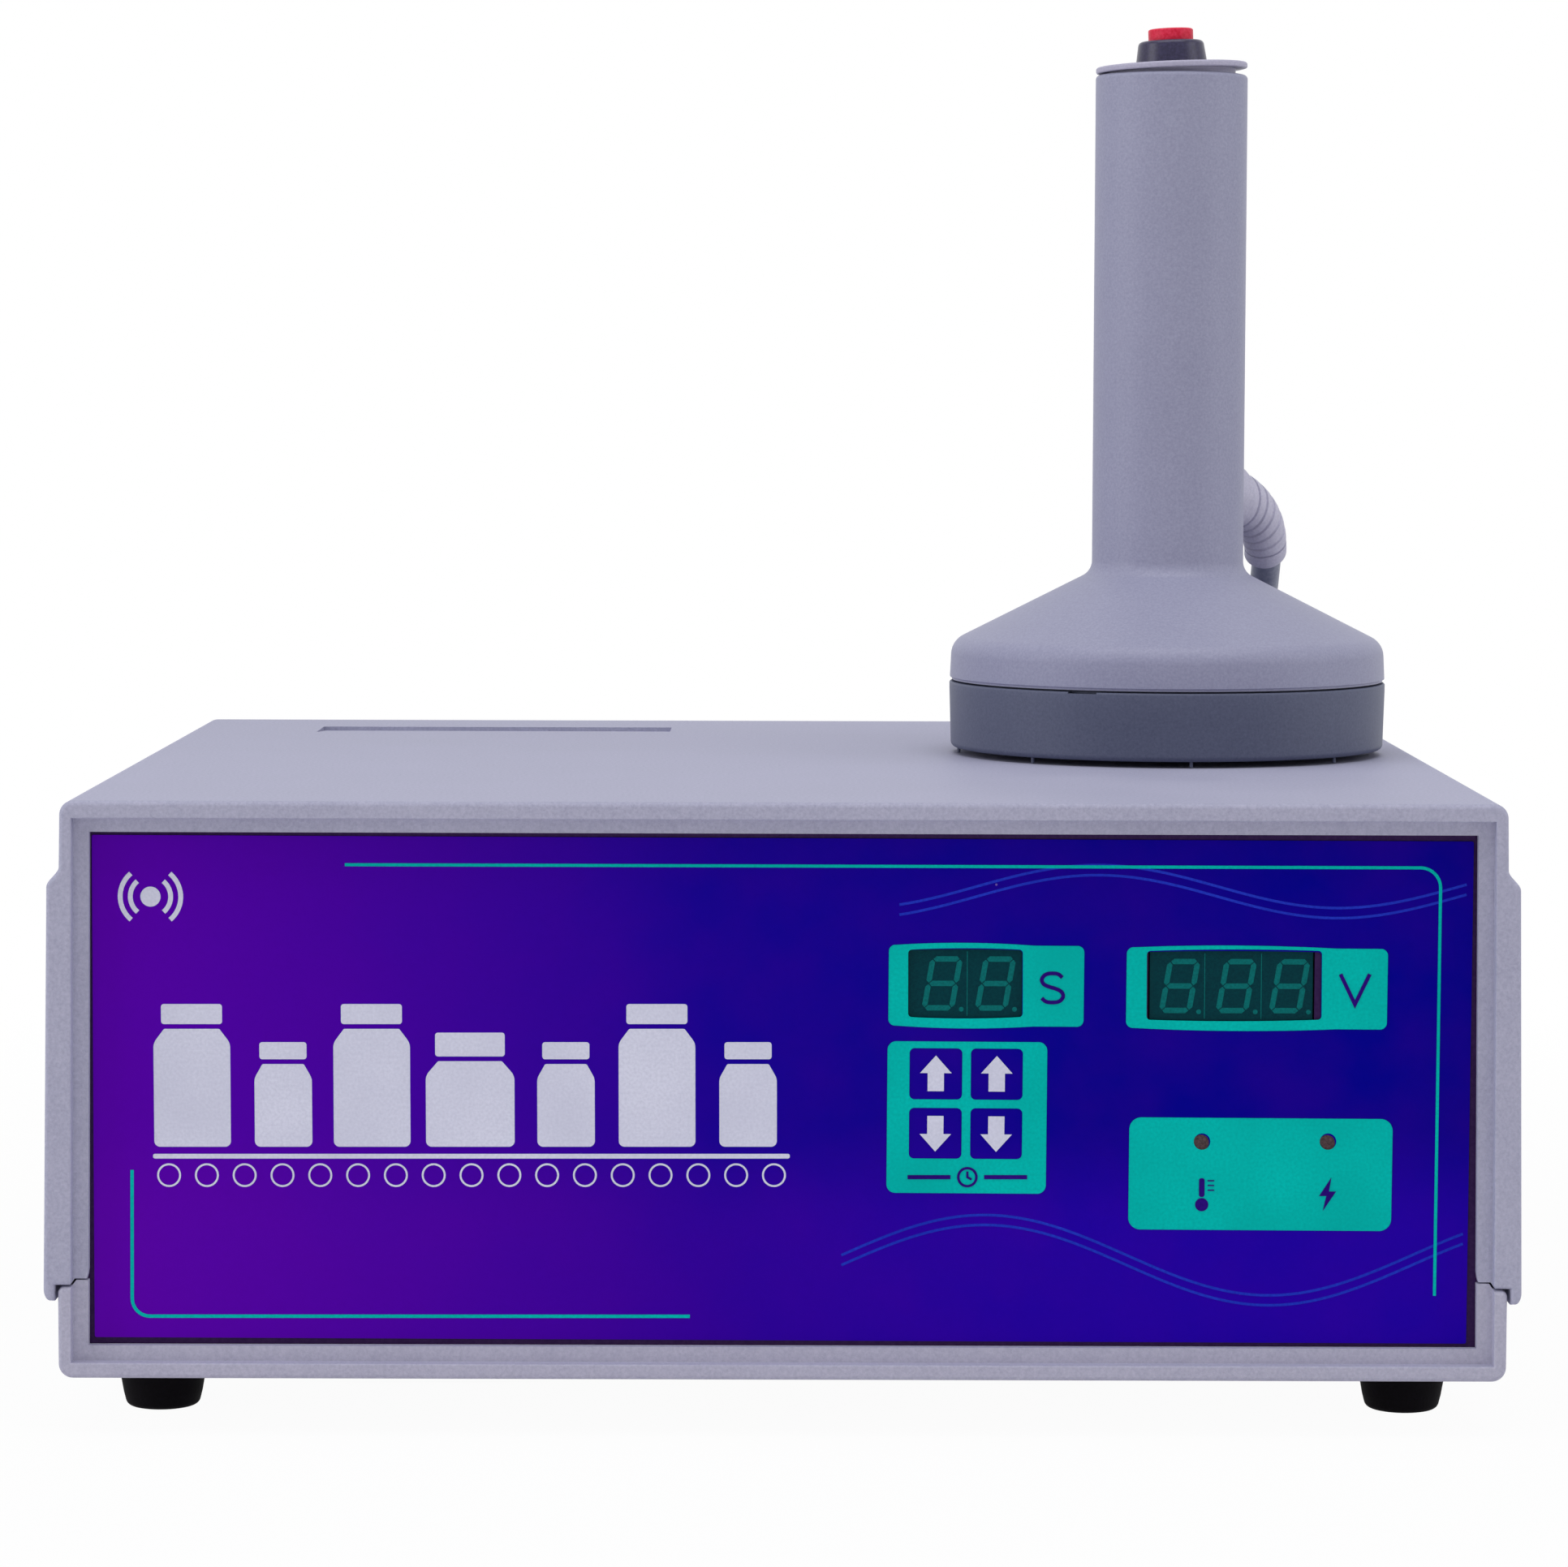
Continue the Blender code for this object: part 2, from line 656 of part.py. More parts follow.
def hollow_cutters():
    """What is cut from both shells: rims, ledges and panel grooves at both ends, and the cavity."""
    beyond = 0.005
    low_x = CAVITY_HALF_WIDTH
    recess = (-RIM_HALF_WIDTH, RIM_HALF_WIDTH)
    recess_z = (RIM_BOTTOM, CASE_HEIGHT - RIM_TOP)
    groove = (-OPENING_HALF_WIDTH - GROOVE_BITE, OPENING_HALF_WIDTH + GROOVE_BITE)
    groove_z = (OPENING_BOTTOM - GROOVE_BITE, OPENING_TOP + GROOVE_BITE)
    opening = (-OPENING_HALF_WIDTH, OPENING_HALF_WIDTH)
    far = CASE_DEPTH
    return [
        case_box("opening_cut", opening, (-beyond, far + beyond), (OPENING_BOTTOM, OPENING_TOP)),
        case_box("front_recess_cut", recess, (-beyond, RECESS_DEPTH), recess_z),
        case_box("rear_recess_cut", recess, (far - RECESS_DEPTH, far + beyond), recess_z),
        case_box("front_groove_cut", groove, (GROOVE_START, GROOVE_END), groove_z),
        case_box("rear_groove_cut", groove, (far - GROOVE_END, far - GROOVE_START), groove_z),
        case_box(
            "cavity_cut",
            (-low_x, low_x),
            (CAVITY_START, far - CAVITY_START),
            (CASE_WALL, CASE_HEIGHT - CASE_WALL),
        ),
    ]


def make_upper_shell(hollows):
    shell = across("upper_shell", [upper_outline()], 0, CASE_DEPTH, CASE_ABS)
    soften(shell, CASE_EDGE, angle=75.0)
    cut(shell, *hollows)
    pocket = CASE_HALF_WIDTH + WALL_DRAFT + BAND_STEP - CASE_WALL
    band_hollow = case_box(
        "band_hollow",
        (-pocket, pocket),
        (CAVITY_START + CASE_WALL, CASE_DEPTH - CAVITY_START - CASE_WALL),
        (SEAM_HEIGHT + LIP_DROP, BAND_TOP - BAND_SLOPE - CASE_WALL),
    )
    cut(shell, band_hollow)
    hold = prism(
        "hand_hold_cut",
        [
            [
                (HOLD_STEP_DEPTH, CASE_HEIGHT - HOLD_SINK),
                (HOLD_STEP_DEPTH, CASE_HEIGHT + HOLD_SINK),
                (HOLD_STEP_DEPTH - HOLD_RAMP, CASE_HEIGHT + HOLD_SINK),
                (HOLD_STEP_DEPTH - HOLD_RAMP, CASE_HEIGHT),
            ]
        ],
        HOLD_RIGHT - HOLD_LEFT,
        at_case((HOLD_LEFT + HOLD_RIGHT) / 2, 0, 0),
        FACING_SIDE,
        collection=cutters,
    )
    cut(shell, hold)
    outside = LIP_INNER + 2 * LIP_THICKNESS
    for i in range(VENT_COUNT):
        middle = VENT_FIRST_DEPTH + i * VENT_PITCH
        slot = case_box(
            f"vent_cut_{i + 1}",
            (-outside, outside),
            (middle - VENT_WIDTH / 2, middle + VENT_WIDTH / 2),
            (VENT_BOTTOM, VENT_TOP),
        )
        cut(shell, slot)
    for i, (x, depth) in enumerate(FOOT_PLACES):
        top = at_case(x, depth, CASE_HEIGHT - CASE_WALL / 2)
        bottom = at_case(x, depth, POST_BOTTOM)
        join(shell, rod(f"post_{i + 1}", bottom, top, POST_RADIUS, 12))
    for i, (x, depth) in enumerate(FOOT_PLACES):
        mouth = at_case(x, depth, POST_BOTTOM - GAP)
        end = at_case(x, depth, POST_BOTTOM + SCREW_REACH + BORE_GAP)
        cut(shell, rod(f"post_bore_{i + 1}", mouth, end, SCREW_RADIUS + BORE_GAP, 10))
    return shell


def make_lower_shell(hollows):
    shell = across("lower_shell", [lower_outline()], 0, CASE_DEPTH, CASE_ABS)
    soften(shell, CASE_EDGE, angle=75.0)
    cut(shell, *hollows)
    inside = CASE_WALL / 2
    flare = FOOT_PAD_RADIUS + FOOT_PAD
    for i, (x, depth) in enumerate(FOOT_PLACES):
        profile = [(0, SOCKET_HEIGHT), (SOCKET_RADIUS, SOCKET_HEIGHT), (SOCKET_RADIUS, inside), (flare, inside)]
        profile += rounded(
            [(flare, 0, 0), (FOOT_PAD_RADIUS, 0, FOOT_PAD), (FOOT_PAD_RADIUS, -FOOT_PAD, 0)],
            closed=False,
            facet=COARSE_ANGLE,
        )
        profile.append((0, -FOOT_PAD))
        join(shell, turned(f"foot_socket_{i + 1}", profile, 16, at_case(x, depth, 0), collection=cutters))
    for i, (x, depth) in enumerate(FOOT_PLACES):
        under = at_case(x, depth, -2 * FOOT_PAD)
        above = at_case(x, depth, 2 * SOCKET_HEIGHT)
        cut(shell, rod(f"socket_bore_{i + 1}", under, above, SCREW_RADIUS + 2 * BORE_GAP, 10))
    left, right, front, back = POWER_BOARD
    inset = BOARD_POST_INSET
    for i, x in enumerate((left + inset, right - inset)):
        for k, depth in enumerate((front + inset, back - inset)):
            foot = at_case(x, depth, inside)
            head = at_case(x, depth, CASE_WALL + BOARD_POST_HEIGHT)
            join(shell, rod(f"board_post_{i}_{k}", foot, head, BOARD_POST_RADIUS, 10))
    return shell


def make_feet():
    top = -FOOT_PAD - GAP
    recess_top = -FOOT_HEIGHT + FOOT_RECESS_DEPTH
    bore = SCREW_RADIUS + 2 * BORE_GAP
    profile = rounded(
        [
            (bore, top, 0),
            (FOOT_TOP_RADIUS, top, 0),
            (FOOT_TREAD_RADIUS + FOOT_ROUND / 4, -FOOT_HEIGHT + FOOT_ROUND, FOOT_ROUND),
            (FOOT_TREAD_RADIUS, -FOOT_HEIGHT, FOOT_ROUND / 2),
            (FOOT_RECESS_RADIUS, -FOOT_HEIGHT, 0),
            (FOOT_RECESS_RADIUS, recess_top, 0),
            (bore, recess_top, 0),
        ],
        facet=COARSE_ANGLE,
    )
    head_top = recess_top - GAP
    head_bottom = head_top - SCREW_HEAD_HEIGHT
    reach = POST_BOTTOM + SCREW_REACH
    screw = rounded(
        [
            (0, reach, 0),
            (SCREW_RADIUS, reach, 0),
            (SCREW_RADIUS, head_top, 0),
            (SCREW_HEAD_RADIUS, head_top, 0),
            (SCREW_HEAD_RADIUS, head_bottom, SCREW_HEAD_HEIGHT * 0.45),
            (0, head_bottom, 0),
        ],
        closed=False,
        facet=COARSE_ANGLE,
    )
    for i, (x, depth) in enumerate(FOOT_PLACES):
        origin = at_case(x, depth, 0)
        turned(f"rubber_foot_{i + 1}", profile, 18, origin, BLACK_RUBBER)
        made = turned(f"case_screw_{i + 1}", screw, 10, origin, STEEL)
        half = SCREW_HEAD_RADIUS * 0.6
        slot_top = head_bottom + SCREW_HEAD_HEIGHT / 2
        slot = case_box(
            f"screw_slot_{i + 1}",
            (x - half, x + half),
            (depth - SLOT_WIDTH / 2, depth + SLOT_WIDTH / 2),
            (head_bottom - SCREW_HEAD_HEIGHT, slot_top),
        )
        cut(made, slot)


def grown(frame, by):
    """A (left, right, bottom, top) frame made larger all round."""
    left, right, bottom, top = frame
    return (left - by, right + by, bottom - by, top + by)


def key_places():
    """The four keys' middles, from the upper left one."""
    return [(CONTROLS_X + KEY_X + i * KEY_PITCH_X, KEY_Z - k * KEY_PITCH_Z) for k in (0, 1) for i in (0, 1)]


def panel_outline():
    half = OPENING_HALF_WIDTH + GROOVE_BITE - GAP
    return rectangle(-half, half, OPENING_BOTTOM - GROOVE_BITE + GAP, OPENING_TOP + GROOVE_BITE - GAP)


def on_controls(frame):
    """A (left, right, bottom, top) from the controls' middle as one from the case's middle."""
    left, right, bottom, top = frame
    return (CONTROLS_X + left, CONTROLS_X + right, bottom, top)


def lamp_places():
    return {name: CONTROLS_X + x for name, x in LAMP_XS.items()}


def make_front_panel():
    outlines = [panel_outline()]
    outlines += [rectangle(*grown(on_controls(frame), GAP)) for frame in (TIME_MODULE, VOLT_MODULE)]
    outlines += [circle(x, z, STEM_RADIUS + 2 * BORE_GAP, 10) for x, z in key_places()]
    outlines += [circle(x, LAMP_Z, LAMP_RADIUS + BORE_GAP, 12) for x in lamp_places().values()]
    panel = across("front_panel", outlines, PANEL_FACE, PANEL_BACK, BLACK_ABS)
    left, right, bottom, top = grown(on_controls(CONTROL_BOARD), -STANDOFF_INSET)
    for i, x in enumerate((left, right)):
        for k, z in enumerate((bottom, top)):
            start = at_case(x, PANEL_BACK - PANEL_THICKNESS / 2, z)
            end = at_case(x, CONTROL_BOARD_FACE - GAP, z)
            join(panel, rod(f"standoff_{i}_{k}", start, end, STANDOFF_RADIUS, 10))

    film_back = PANEL_FACE - FILM_GAP
    turn = Matrix.Rotation(math.radians(FILM_TURN), 2)
    sheet = [turn @ Vector(point) for point in rectangle(FILM_LEFT, FILM_RIGHT, FILM_BOTTOM, FILM_TOP)]
    outlines = [[(p.x, p.y) for p in sheet]]
    outlines += [rectangle(*on_controls(frame)) for frame in (TIME_WINDOW, VOLT_WINDOW)]
    outlines += [circle(x, LAMP_Z, LAMP_HOLE, 16) for x in lamp_places().values()]
    across("front_overlay", outlines, film_back - FILM_THICKNESS, film_back, FILM)


def make_control_board():
    left, right, bottom, top = on_controls(CONTROL_BOARD)
    face = CONTROL_BOARD_FACE
    case_box("control_board", (left, right), (face, face + BOARD_THICKNESS), (bottom, top), CIRCUIT_BOARD, model)
    back = face - GAP
    for name, frame in (("time_display", TIME_MODULE), ("voltage_display", VOLT_MODULE)):
        left, right, bottom, top = on_controls(frame)
        case_box(name, (left, right), (MODULE_FACE, back), (bottom, top), DISPLAY, model)

    half = SWITCH_SIDE / 2
    stem_front = PANEL_FACE
    well_floor = back - GAP
    stem_back = well_floor - STEM_TRAVEL - GAP
    for i, (x, z) in enumerate(key_places()):
        body = case_box(
            f"key_switch_{i + 1}",
            (x - half, x + half),
            (back - SWITCH_HEIGHT, back),
            (z - half, z + half),
            BLACK_ABS,
            model,
        )
        mouth = at_case(x, back - 2 * SWITCH_HEIGHT, z)
        cut(body, rod(f"stem_well_{i + 1}", mouth, at_case(x, well_floor, z), STEM_RADIUS + BORE_GAP, 10))
        start = at_case(x, stem_front, z)
        rod(f"key_stem_{i + 1}", start, at_case(x, stem_back, z), STEM_RADIUS, 10, model, BLACK_ABS)

    tip = PANEL_FACE - FILM_GAP - FILM_THICKNESS
    profile = rounded(
        [
            (0, LAMP_BODY + GAP, 0),
            (LAMP_RADIUS, LAMP_BODY + GAP, LAMP_RADIUS * 0.9),
            (LAMP_RADIUS, 0.001, 0),
            (LAMP_FLANGE_RADIUS, 0.001, 0),
            (LAMP_FLANGE_RADIUS, 0, 0),
            (0, 0, 0),
        ],
        closed=False,
    )
    facing = Matrix.Rotation(math.radians(90), 4, "X")
    lamp_back = tip + LAMP_BODY + GAP
    for name, x in lamp_places().items():
        lamp = turned(name, profile, 14, at_case(x, lamp_back, LAMP_Z), LAMP_LENS, way=facing)
        for k, side in enumerate((-LEG_SPREAD, LEG_SPREAD)):
            leg = case_box(
                f"{name}_leg_{k + 1}",
                (x + side - LEG_WIDTH / 2, x + side + LEG_WIDTH / 2),
                (lamp_back - LEG_WIDTH, back),
                (LAMP_Z - LEG_WIDTH / 2, LAMP_Z + LEG_WIDTH / 2),
            )
            join(lamp, leg)


def centred(x, z, size, radius=0.0):
    """A rectangle about a middle, from its (width, height)."""
    return rectangle(x - size[0] / 2, x + size[0] / 2, z - size[1] / 2, z + size[1] / 2, radius)


def bigger(size, by):
    return (size[0] + 2 * by, size[1] + 2 * by)


def make_rear_panel():
    outlines = [
        panel_outline(),
        circle(FAN_X, FAN_Z, FAN_BORE - GAP, 32),
        centred(INLET_X, INLET_Z, bigger(INLET_BODY, GAP)),
        centred(ROCKER_X, ROCKER_Z, bigger(ROCKER_BODY, GAP)),
        circle(FUSE_X, FUSE_Z, FUSE_BODY_RADIUS + BORE_GAP, 16),
        circle(GLAND_X, GLAND_Z, GLAND_THREAD_RADIUS + BORE_GAP, 16),
    ]
    across("rear_panel", outlines, REAR_INSIDE, REAR_FACE, BLACK_ABS)


def make_fan():
    back = REAR_INSIDE - GAP
    front = back - FAN_DEPTH
    side = (FAN_SIDE, FAN_SIDE)
    outlines = [centred(FAN_X, FAN_Z, side, FAN_CORNER), circle(FAN_X, FAN_Z, FAN_BORE, 32)]
    frame = across("fan_frame", outlines, front, back, BLACK_ABS)
    centre = at_case(FAN_X, front, FAN_Z)
    backward = Vector((0, 1, 0))
    join(frame, rod("fan_hub", centre, centre + backward * FAN_PLATE, FAN_HUB, 20))
    for i in range(3):
        spoke = Matrix.Rotation(math.radians(90 + 120 * i), 4, "Y") @ Vector((1, 0, 0))
        start = centre + backward * FAN_PLATE / 2 + spoke * FAN_HUB / 2
        end = centre + backward * FAN_PLATE / 2 + spoke * (FAN_BORE + FAN_STRUT / 2)
        join(frame, rod(f"fan_strut_{i + 1}", start, end, FAN_PLATE * 0.45, 6))
    pin_end = FAN_PLATE + FAN_RUN + FAN_HUB_DEPTH / 2
    join(frame, rod("fan_pin", centre + backward * FAN_PLATE / 2, centre + backward * pin_end, FAN_SHAFT, 10))

    hub_front = front + FAN_PLATE + FAN_RUN
    hub_back = hub_front + FAN_HUB_DEPTH
    bore_end = pin_end + GAP - FAN_PLATE - FAN_RUN
    profile = rounded(
        [
            (0, FAN_HUB_DEPTH, 0),
            (FAN_HUB, FAN_HUB_DEPTH, FAN_HUB_DEPTH / 8),
            (FAN_HUB, 0, 0),
            (FAN_SHAFT + BORE_GAP, 0, 0),
            (FAN_SHAFT + BORE_GAP, bore_end, 0),
            (0, bore_end, 0),
        ],
        closed=False,
    )
    facing_back = Matrix.Rotation(math.radians(-90), 4, "X")
    origin = at_case(FAN_X, hub_front, FAN_Z)
    rotor = turned("fan_rotor", profile, 20, origin, BLACK_ABS, way=facing_back)
    inner = FAN_HUB - BLADE_THICKNESS
    outer = FAN_BORE - FAN_RUN
    middle_depth = (hub_front + hub_back) / 2
    for i in range(BLADE_COUNT):
        half = (BLADE_CHORD / 2, BLADE_THICKNESS / 2)
        blade = box(f"blade_{i + 1}", (inner, -half[0], -half[1]), (outer, half[0], half[1]))
        blade_middle = Matrix.Translation(blade.location)
        pitch = Matrix.Rotation(math.radians(BLADE_PITCH), 4, "X")
        turn = Matrix.Rotation(2 * math.pi * i / BLADE_COUNT, 4, "Y")
        hub_middle = Matrix.Translation(at_case(FAN_X, middle_depth, FAN_Z))
        blade.matrix_world = hub_middle @ turn @ pitch @ blade_middle
        join(rotor, blade)
    make_fan_guard()


def make_fan_guard():
    """Wire rings on four crossed wires, over the fan's opening in the rear panel."""
    depth = REAR_FACE + GAP + GUARD_WIRE
    middle = at_case(FAN_X, depth, FAN_Z)
    facing_back = Matrix.Rotation(math.radians(-90), 4, "X")
    guard = None
    for i, radius in enumerate(GUARD_RINGS):
        section = [(radius + dx, dz) for dx, dz in circle(0, 0, GUARD_WIRE, 5)][::-1]
        if guard is None:
            guard = turned("fan_guard", section, 20, middle, STEEL, way=facing_back)
        else:
            join(guard, turned(f"guard_ring_{i + 1}", section, 20, middle, None, cutters, facing_back))
    for i in range(2):
        reach = Matrix.Rotation(math.radians(45 + 90 * i), 4, "Y") @ Vector((GUARD_REACH, 0, 0))
        shift = Vector((0, GUARD_WIRE * 0.4, 0))
        join(guard, rod(f"guard_wire_{i + 1}", middle - reach + shift, middle + reach + shift, GUARD_WIRE, 6))


def make_inlet():
    flange_back = REAR_FACE + GAP + INLET_FLANGE_THICKNESS
    mouth_floor = flange_back - INLET_DEPTH
    body_front = mouth_floor - INLET_FLOOR
    x = INLET_X
    z = INLET_Z
    inlet = across("mains_inlet", [centred(x, z, INLET_BODY)], body_front, flange_back - GAP, BLACK_ABS)
    flange = across(
        "inlet_flange",
        [centred(x, z, INLET_FLANGE, INLET_CHAMFER / 2)],
        REAR_FACE + GAP,
        flange_back,
        collection=cutters,
    )
    join(inlet, flange)
    half_width = INLET_MOUTH[0] / 2
    half_height = INLET_MOUTH[1] / 2
    mouth = [
        (x - half_width, z - half_height),
        (x + half_width, z - half_height),
        (x + half_width, z + half_height - INLET_CHAMFER),
        (x + half_width - INLET_CHAMFER, z + half_height),
        (x - half_width + INLET_CHAMFER, z + half_height),
        (x - half_width, z + half_height - INLET_CHAMFER),
    ]
    beyond = flange_back + INLET_FLANGE_THICKNESS
    cut(inlet, across("inlet_mouth", [mouth], mouth_floor, beyond, collection=cutters))
    places = (
        (x - PIN_SPACING / 2, z - PIN_OFFSET),
        (x, z + PIN_OFFSET),
        (x + PIN_SPACING / 2, z - PIN_OFFSET),
    )
    for i, (pin_x, pin_z) in enumerate(places):
        sides = (pin_x - PIN_WIDTH / 2, pin_x + PIN_WIDTH / 2)
        heights = (pin_z - PIN_HEIGHT / 2, pin_z + PIN_HEIGHT / 2)
        slot = case_box(
            f"pin_slot_{i + 1}",
            (sides[0] - BORE_GAP, sides[1] + BORE_GAP),
            (body_front - INLET_FLOOR, mouth_floor + INLET_FLOOR),
            (heights[0] - BORE_GAP, heights[1] + BORE_GAP),
        )
        cut(inlet, slot)
        case_box(
            f"inlet_pin_{i + 1}",
            sides,
            (body_front - PIN_TAB, mouth_floor + PIN_LENGTH),
            heights,
            PLATED_BRASS,
            model,
        )


def make_rocker():
    x = ROCKER_X
    z = ROCKER_Z
    bezel_back = REAR_FACE + GAP + ROCKER_BEZEL_THICKNESS
    pivot_depth = bezel_back - ROCKER_SINK - ROCKER_FACE
    radius = ROCKER_WELL[1] / 2 - GAP
    frame = across("rocker_frame", [centred(x, z, ROCKER_BODY)], REAR_FACE - ROCKER_DEPTH, bezel_back - GAP, BLACK_ABS)
    bezel = across(
        "rocker_bezel",
        [centred(x, z, ROCKER_BEZEL, CASE_EDGE)],
        REAR_FACE + GAP,
        bezel_back,
        collection=cutters,
    )
    join(frame, bezel)
    well_floor = pivot_depth - ROCKER_FACE - 2 * GAP
    beyond = bezel_back + ROCKER_BEZEL_THICKNESS
    well = across("rocker_well", [centred(x, z, ROCKER_WELL)], well_floor, beyond, collection=cutters)
    cut(frame, well)
    reach = ROCKER_WELL[0] / 2 + TRUNNION_REACH
    left = at_case(x - reach - BORE_GAP, pivot_depth, z)
    right = at_case(x + reach + BORE_GAP, pivot_depth, z)
    cut(frame, rod("trunnion_holes", left, right, TRUNNION_RADIUS + BORE_GAP, 10))

    slope = math.tan(math.radians(ROCKER_TILT))
    spread = math.cos(math.radians(ROCKER_TILT))
    end = radius * spread - ROCKER_FACE * slope
    rise = math.degrees(math.atan2(ROCKER_FACE + end * slope * 0.8, end))
    outline = [(ROCKER_FACE, 0)]
    for k in range(4):
        angle = math.radians(rise - k * (rise + 12) / 3)
        outline.append((radius * math.sin(angle), radius * math.cos(angle)))
    outline += [(depth, -height) for depth, height in reversed(outline[1:])]
    rocker = prism(
        "rocker",
        [outline],
        ROCKER_WELL[0] - 2 * GAP,
        at_case(x, pivot_depth, z),
        FACING_SIDE,
        BLACK_ABS,
    )
    tilt = Matrix.Rotation(math.radians(-ROCKER_TILT), 4, "X")
    rocker.matrix_world = Matrix.Translation(at_case(x, pivot_depth, z)) @ tilt @ FACING_SIDE
    left = at_case(x - reach, pivot_depth, z)
    right = at_case(x + reach, pivot_depth, z)
    join(rocker, rod("trunnions", left, right, TRUNNION_RADIUS, 10))


def make_fuse():
    face = REAR_FACE + GAP
    facing_back = Matrix.Rotation(math.radians(-90), 4, "X")
    bore = FUSE_BORE
    holder = [
        (bore, FUSE_FLANGE),
        (FUSE_FLANGE_RADIUS, FUSE_FLANGE),
        (FUSE_FLANGE_RADIUS, 0),
        (FUSE_BODY_RADIUS, 0),
        (FUSE_BODY_RADIUS, -FUSE_LENGTH),
        (0, -FUSE_LENGTH),
    ]
    stem_end = FUSE_FLANGE - FUSE_STEM_LENGTH
    holder = [(0, stem_end - GAP), (bore, stem_end - GAP)] + holder
    turned("fuse_holder", holder, 18, at_case(FUSE_X, face, FUSE_Z), BLACK_ABS, way=facing_back)
    cap_bottom = FUSE_FLANGE + GAP
    cap_top = cap_bottom + FUSE_CAP_HEIGHT
    cap = rounded(
        [
            (0, cap_top, 0),
            (FUSE_CAP_RADIUS, cap_top, CASE_EDGE),
            (FUSE_CAP_RADIUS, cap_bottom, 0),
            (bore - BORE_GAP, cap_bottom, 0),
            (bore - BORE_GAP, stem_end, 0),
            (0, stem_end, 0),
        ],
        closed=False,
    )
    made = turned("fuse_cap", cap, 18, at_case(FUSE_X, face, FUSE_Z), BLACK_ABS, way=facing_back)
    half = FUSE_CAP_RADIUS * 0.7
    slot = case_box(
        "fuse_cap_slot",
        (FUSE_X - half, FUSE_X + half),
        (face + cap_top - CASE_EDGE, face + cap_top + CASE_EDGE),
        (FUSE_Z - SLOT_WIDTH, FUSE_Z + SLOT_WIDTH),
    )
    cut(made, slot)


def make_gland():
    face = REAR_FACE + GAP
    mouth = CASE_DEPTH + GLAND_REACH - face
    facing_back = Matrix.Rotation(math.radians(-90), 4, "X")
    dome = GLAND_FLATS * 0.48
    profile = rounded(
        [
            (0, mouth, 0),
            (GLAND_MOUTH_RADIUS, mouth, CASE_EDGE),
            (dome * 0.8, mouth - GLAND_MOUTH_RADIUS, GLAND_MOUTH_RADIUS),
            (dome, GLAND_HEX * 1.5, GLAND_MOUTH_RADIUS),
            (dome, GLAND_HEX / 2, 0),
            (GLAND_THREAD_RADIUS, GLAND_HEX / 2, 0),
            (GLAND_THREAD_RADIUS, -GLAND_THREAD_LENGTH, 0),
            (0, -GLAND_THREAD_LENGTH, 0),
        ],
        closed=False,
    )
    gland = turned("cable_gland", profile, 20, at_case(GLAND_X, face, GLAND_Z), BLACK_ABS, way=facing_back)
    flats = hexagon(GLAND_X, GLAND_Z, GLAND_FLATS)
    join(gland, across("gland_hex", [flats], face, face + GLAND_HEX, collection=cutters))
    back = REAR_INSIDE - GAP
    outlines = [flats, circle(GLAND_X, GLAND_Z, GLAND_THREAD_RADIUS + BORE_GAP, 16)]
    across("gland_nut", outlines, back - GLAND_NUT_HEIGHT, back, BLACK_ABS)


def standing_box(name, middle, size, material=None, collection=model):
    """A box on the power board, from its (x, depth) middle and its size."""
    x, depth = middle
    width, length, height = size
    bottom = POWER_BOARD_TOP + GAP
    return case_box(
        name,
        (x - width / 2, x + width / 2),
        (depth - length / 2, depth + length / 2),
        (bottom, bottom + height),
        material,
        collection,
    )


def make_power_board():
    left, right, front, back = POWER_BOARD
    case_box(
        "power_board",
        (left, right),
        (front, back),
        (POWER_BOARD_BOTTOM, POWER_BOARD_TOP),
        CIRCUIT_BOARD,
        model,
    )
    x, depth = SINK_MIDDLE
    width, length, height = SINK_SIZE
    bottom = POWER_BOARD_TOP + GAP
    top = bottom + height
    right_side = x + width / 2
    outline = [(x - width / 2, bottom), (right_side, bottom)]
    pitch = (width - SINK_FIN) / (SINK_FINS - 1)
    for i in range(SINK_FINS):
        fin = right_side - i * pitch
        outline += [(fin, top), (fin - SINK_FIN, top)]
        if i < SINK_FINS - 1:
            outline += [(fin - SINK_FIN, bottom + SINK_BACK), (fin - pitch, bottom + SINK_BACK)]
    across("heat_sink", [outline], depth - length / 2, depth + length / 2, ALUMINIUM)

    transformer = standing_box("supply_transformer", TRANSFORMER_MIDDLE, TRANSFORMER_CORE, STEEL)
    join(transformer, standing_box("bobbin", TRANSFORMER_MIDDLE, TRANSFORMER_BOBBIN, None, cutters))
    profile = rounded(
        [(0, BULK_HEIGHT, 0), (BULK_RADIUS, BULK_HEIGHT, CAPACITOR_EDGE), (BULK_RADIUS, 0, 0), (0, 0, 0)],
        closed=False,
    )
    x, depth = BULK_MIDDLE
    turned("bulk_capacitor", profile, 20, at_case(x, depth, bottom), CAPACITOR)
    soften(standing_box("resonant_capacitor", RESONANT_MIDDLE, RESONANT_SIZE, CAPACITOR), CAPACITOR_EDGE)


def cone_inside(radius):
    """The height of the cone's inner face at a radius."""
    slope = (CONE_TOP - SHOULDER_Z) / (SHOULDER_RADIUS - TUBE_RADIUS)
    drop = HEAD_WALL * math.sqrt(1 + slope * slope)
    return SHOULDER_Z + (SHOULDER_RADIUS - radius) * slope - drop


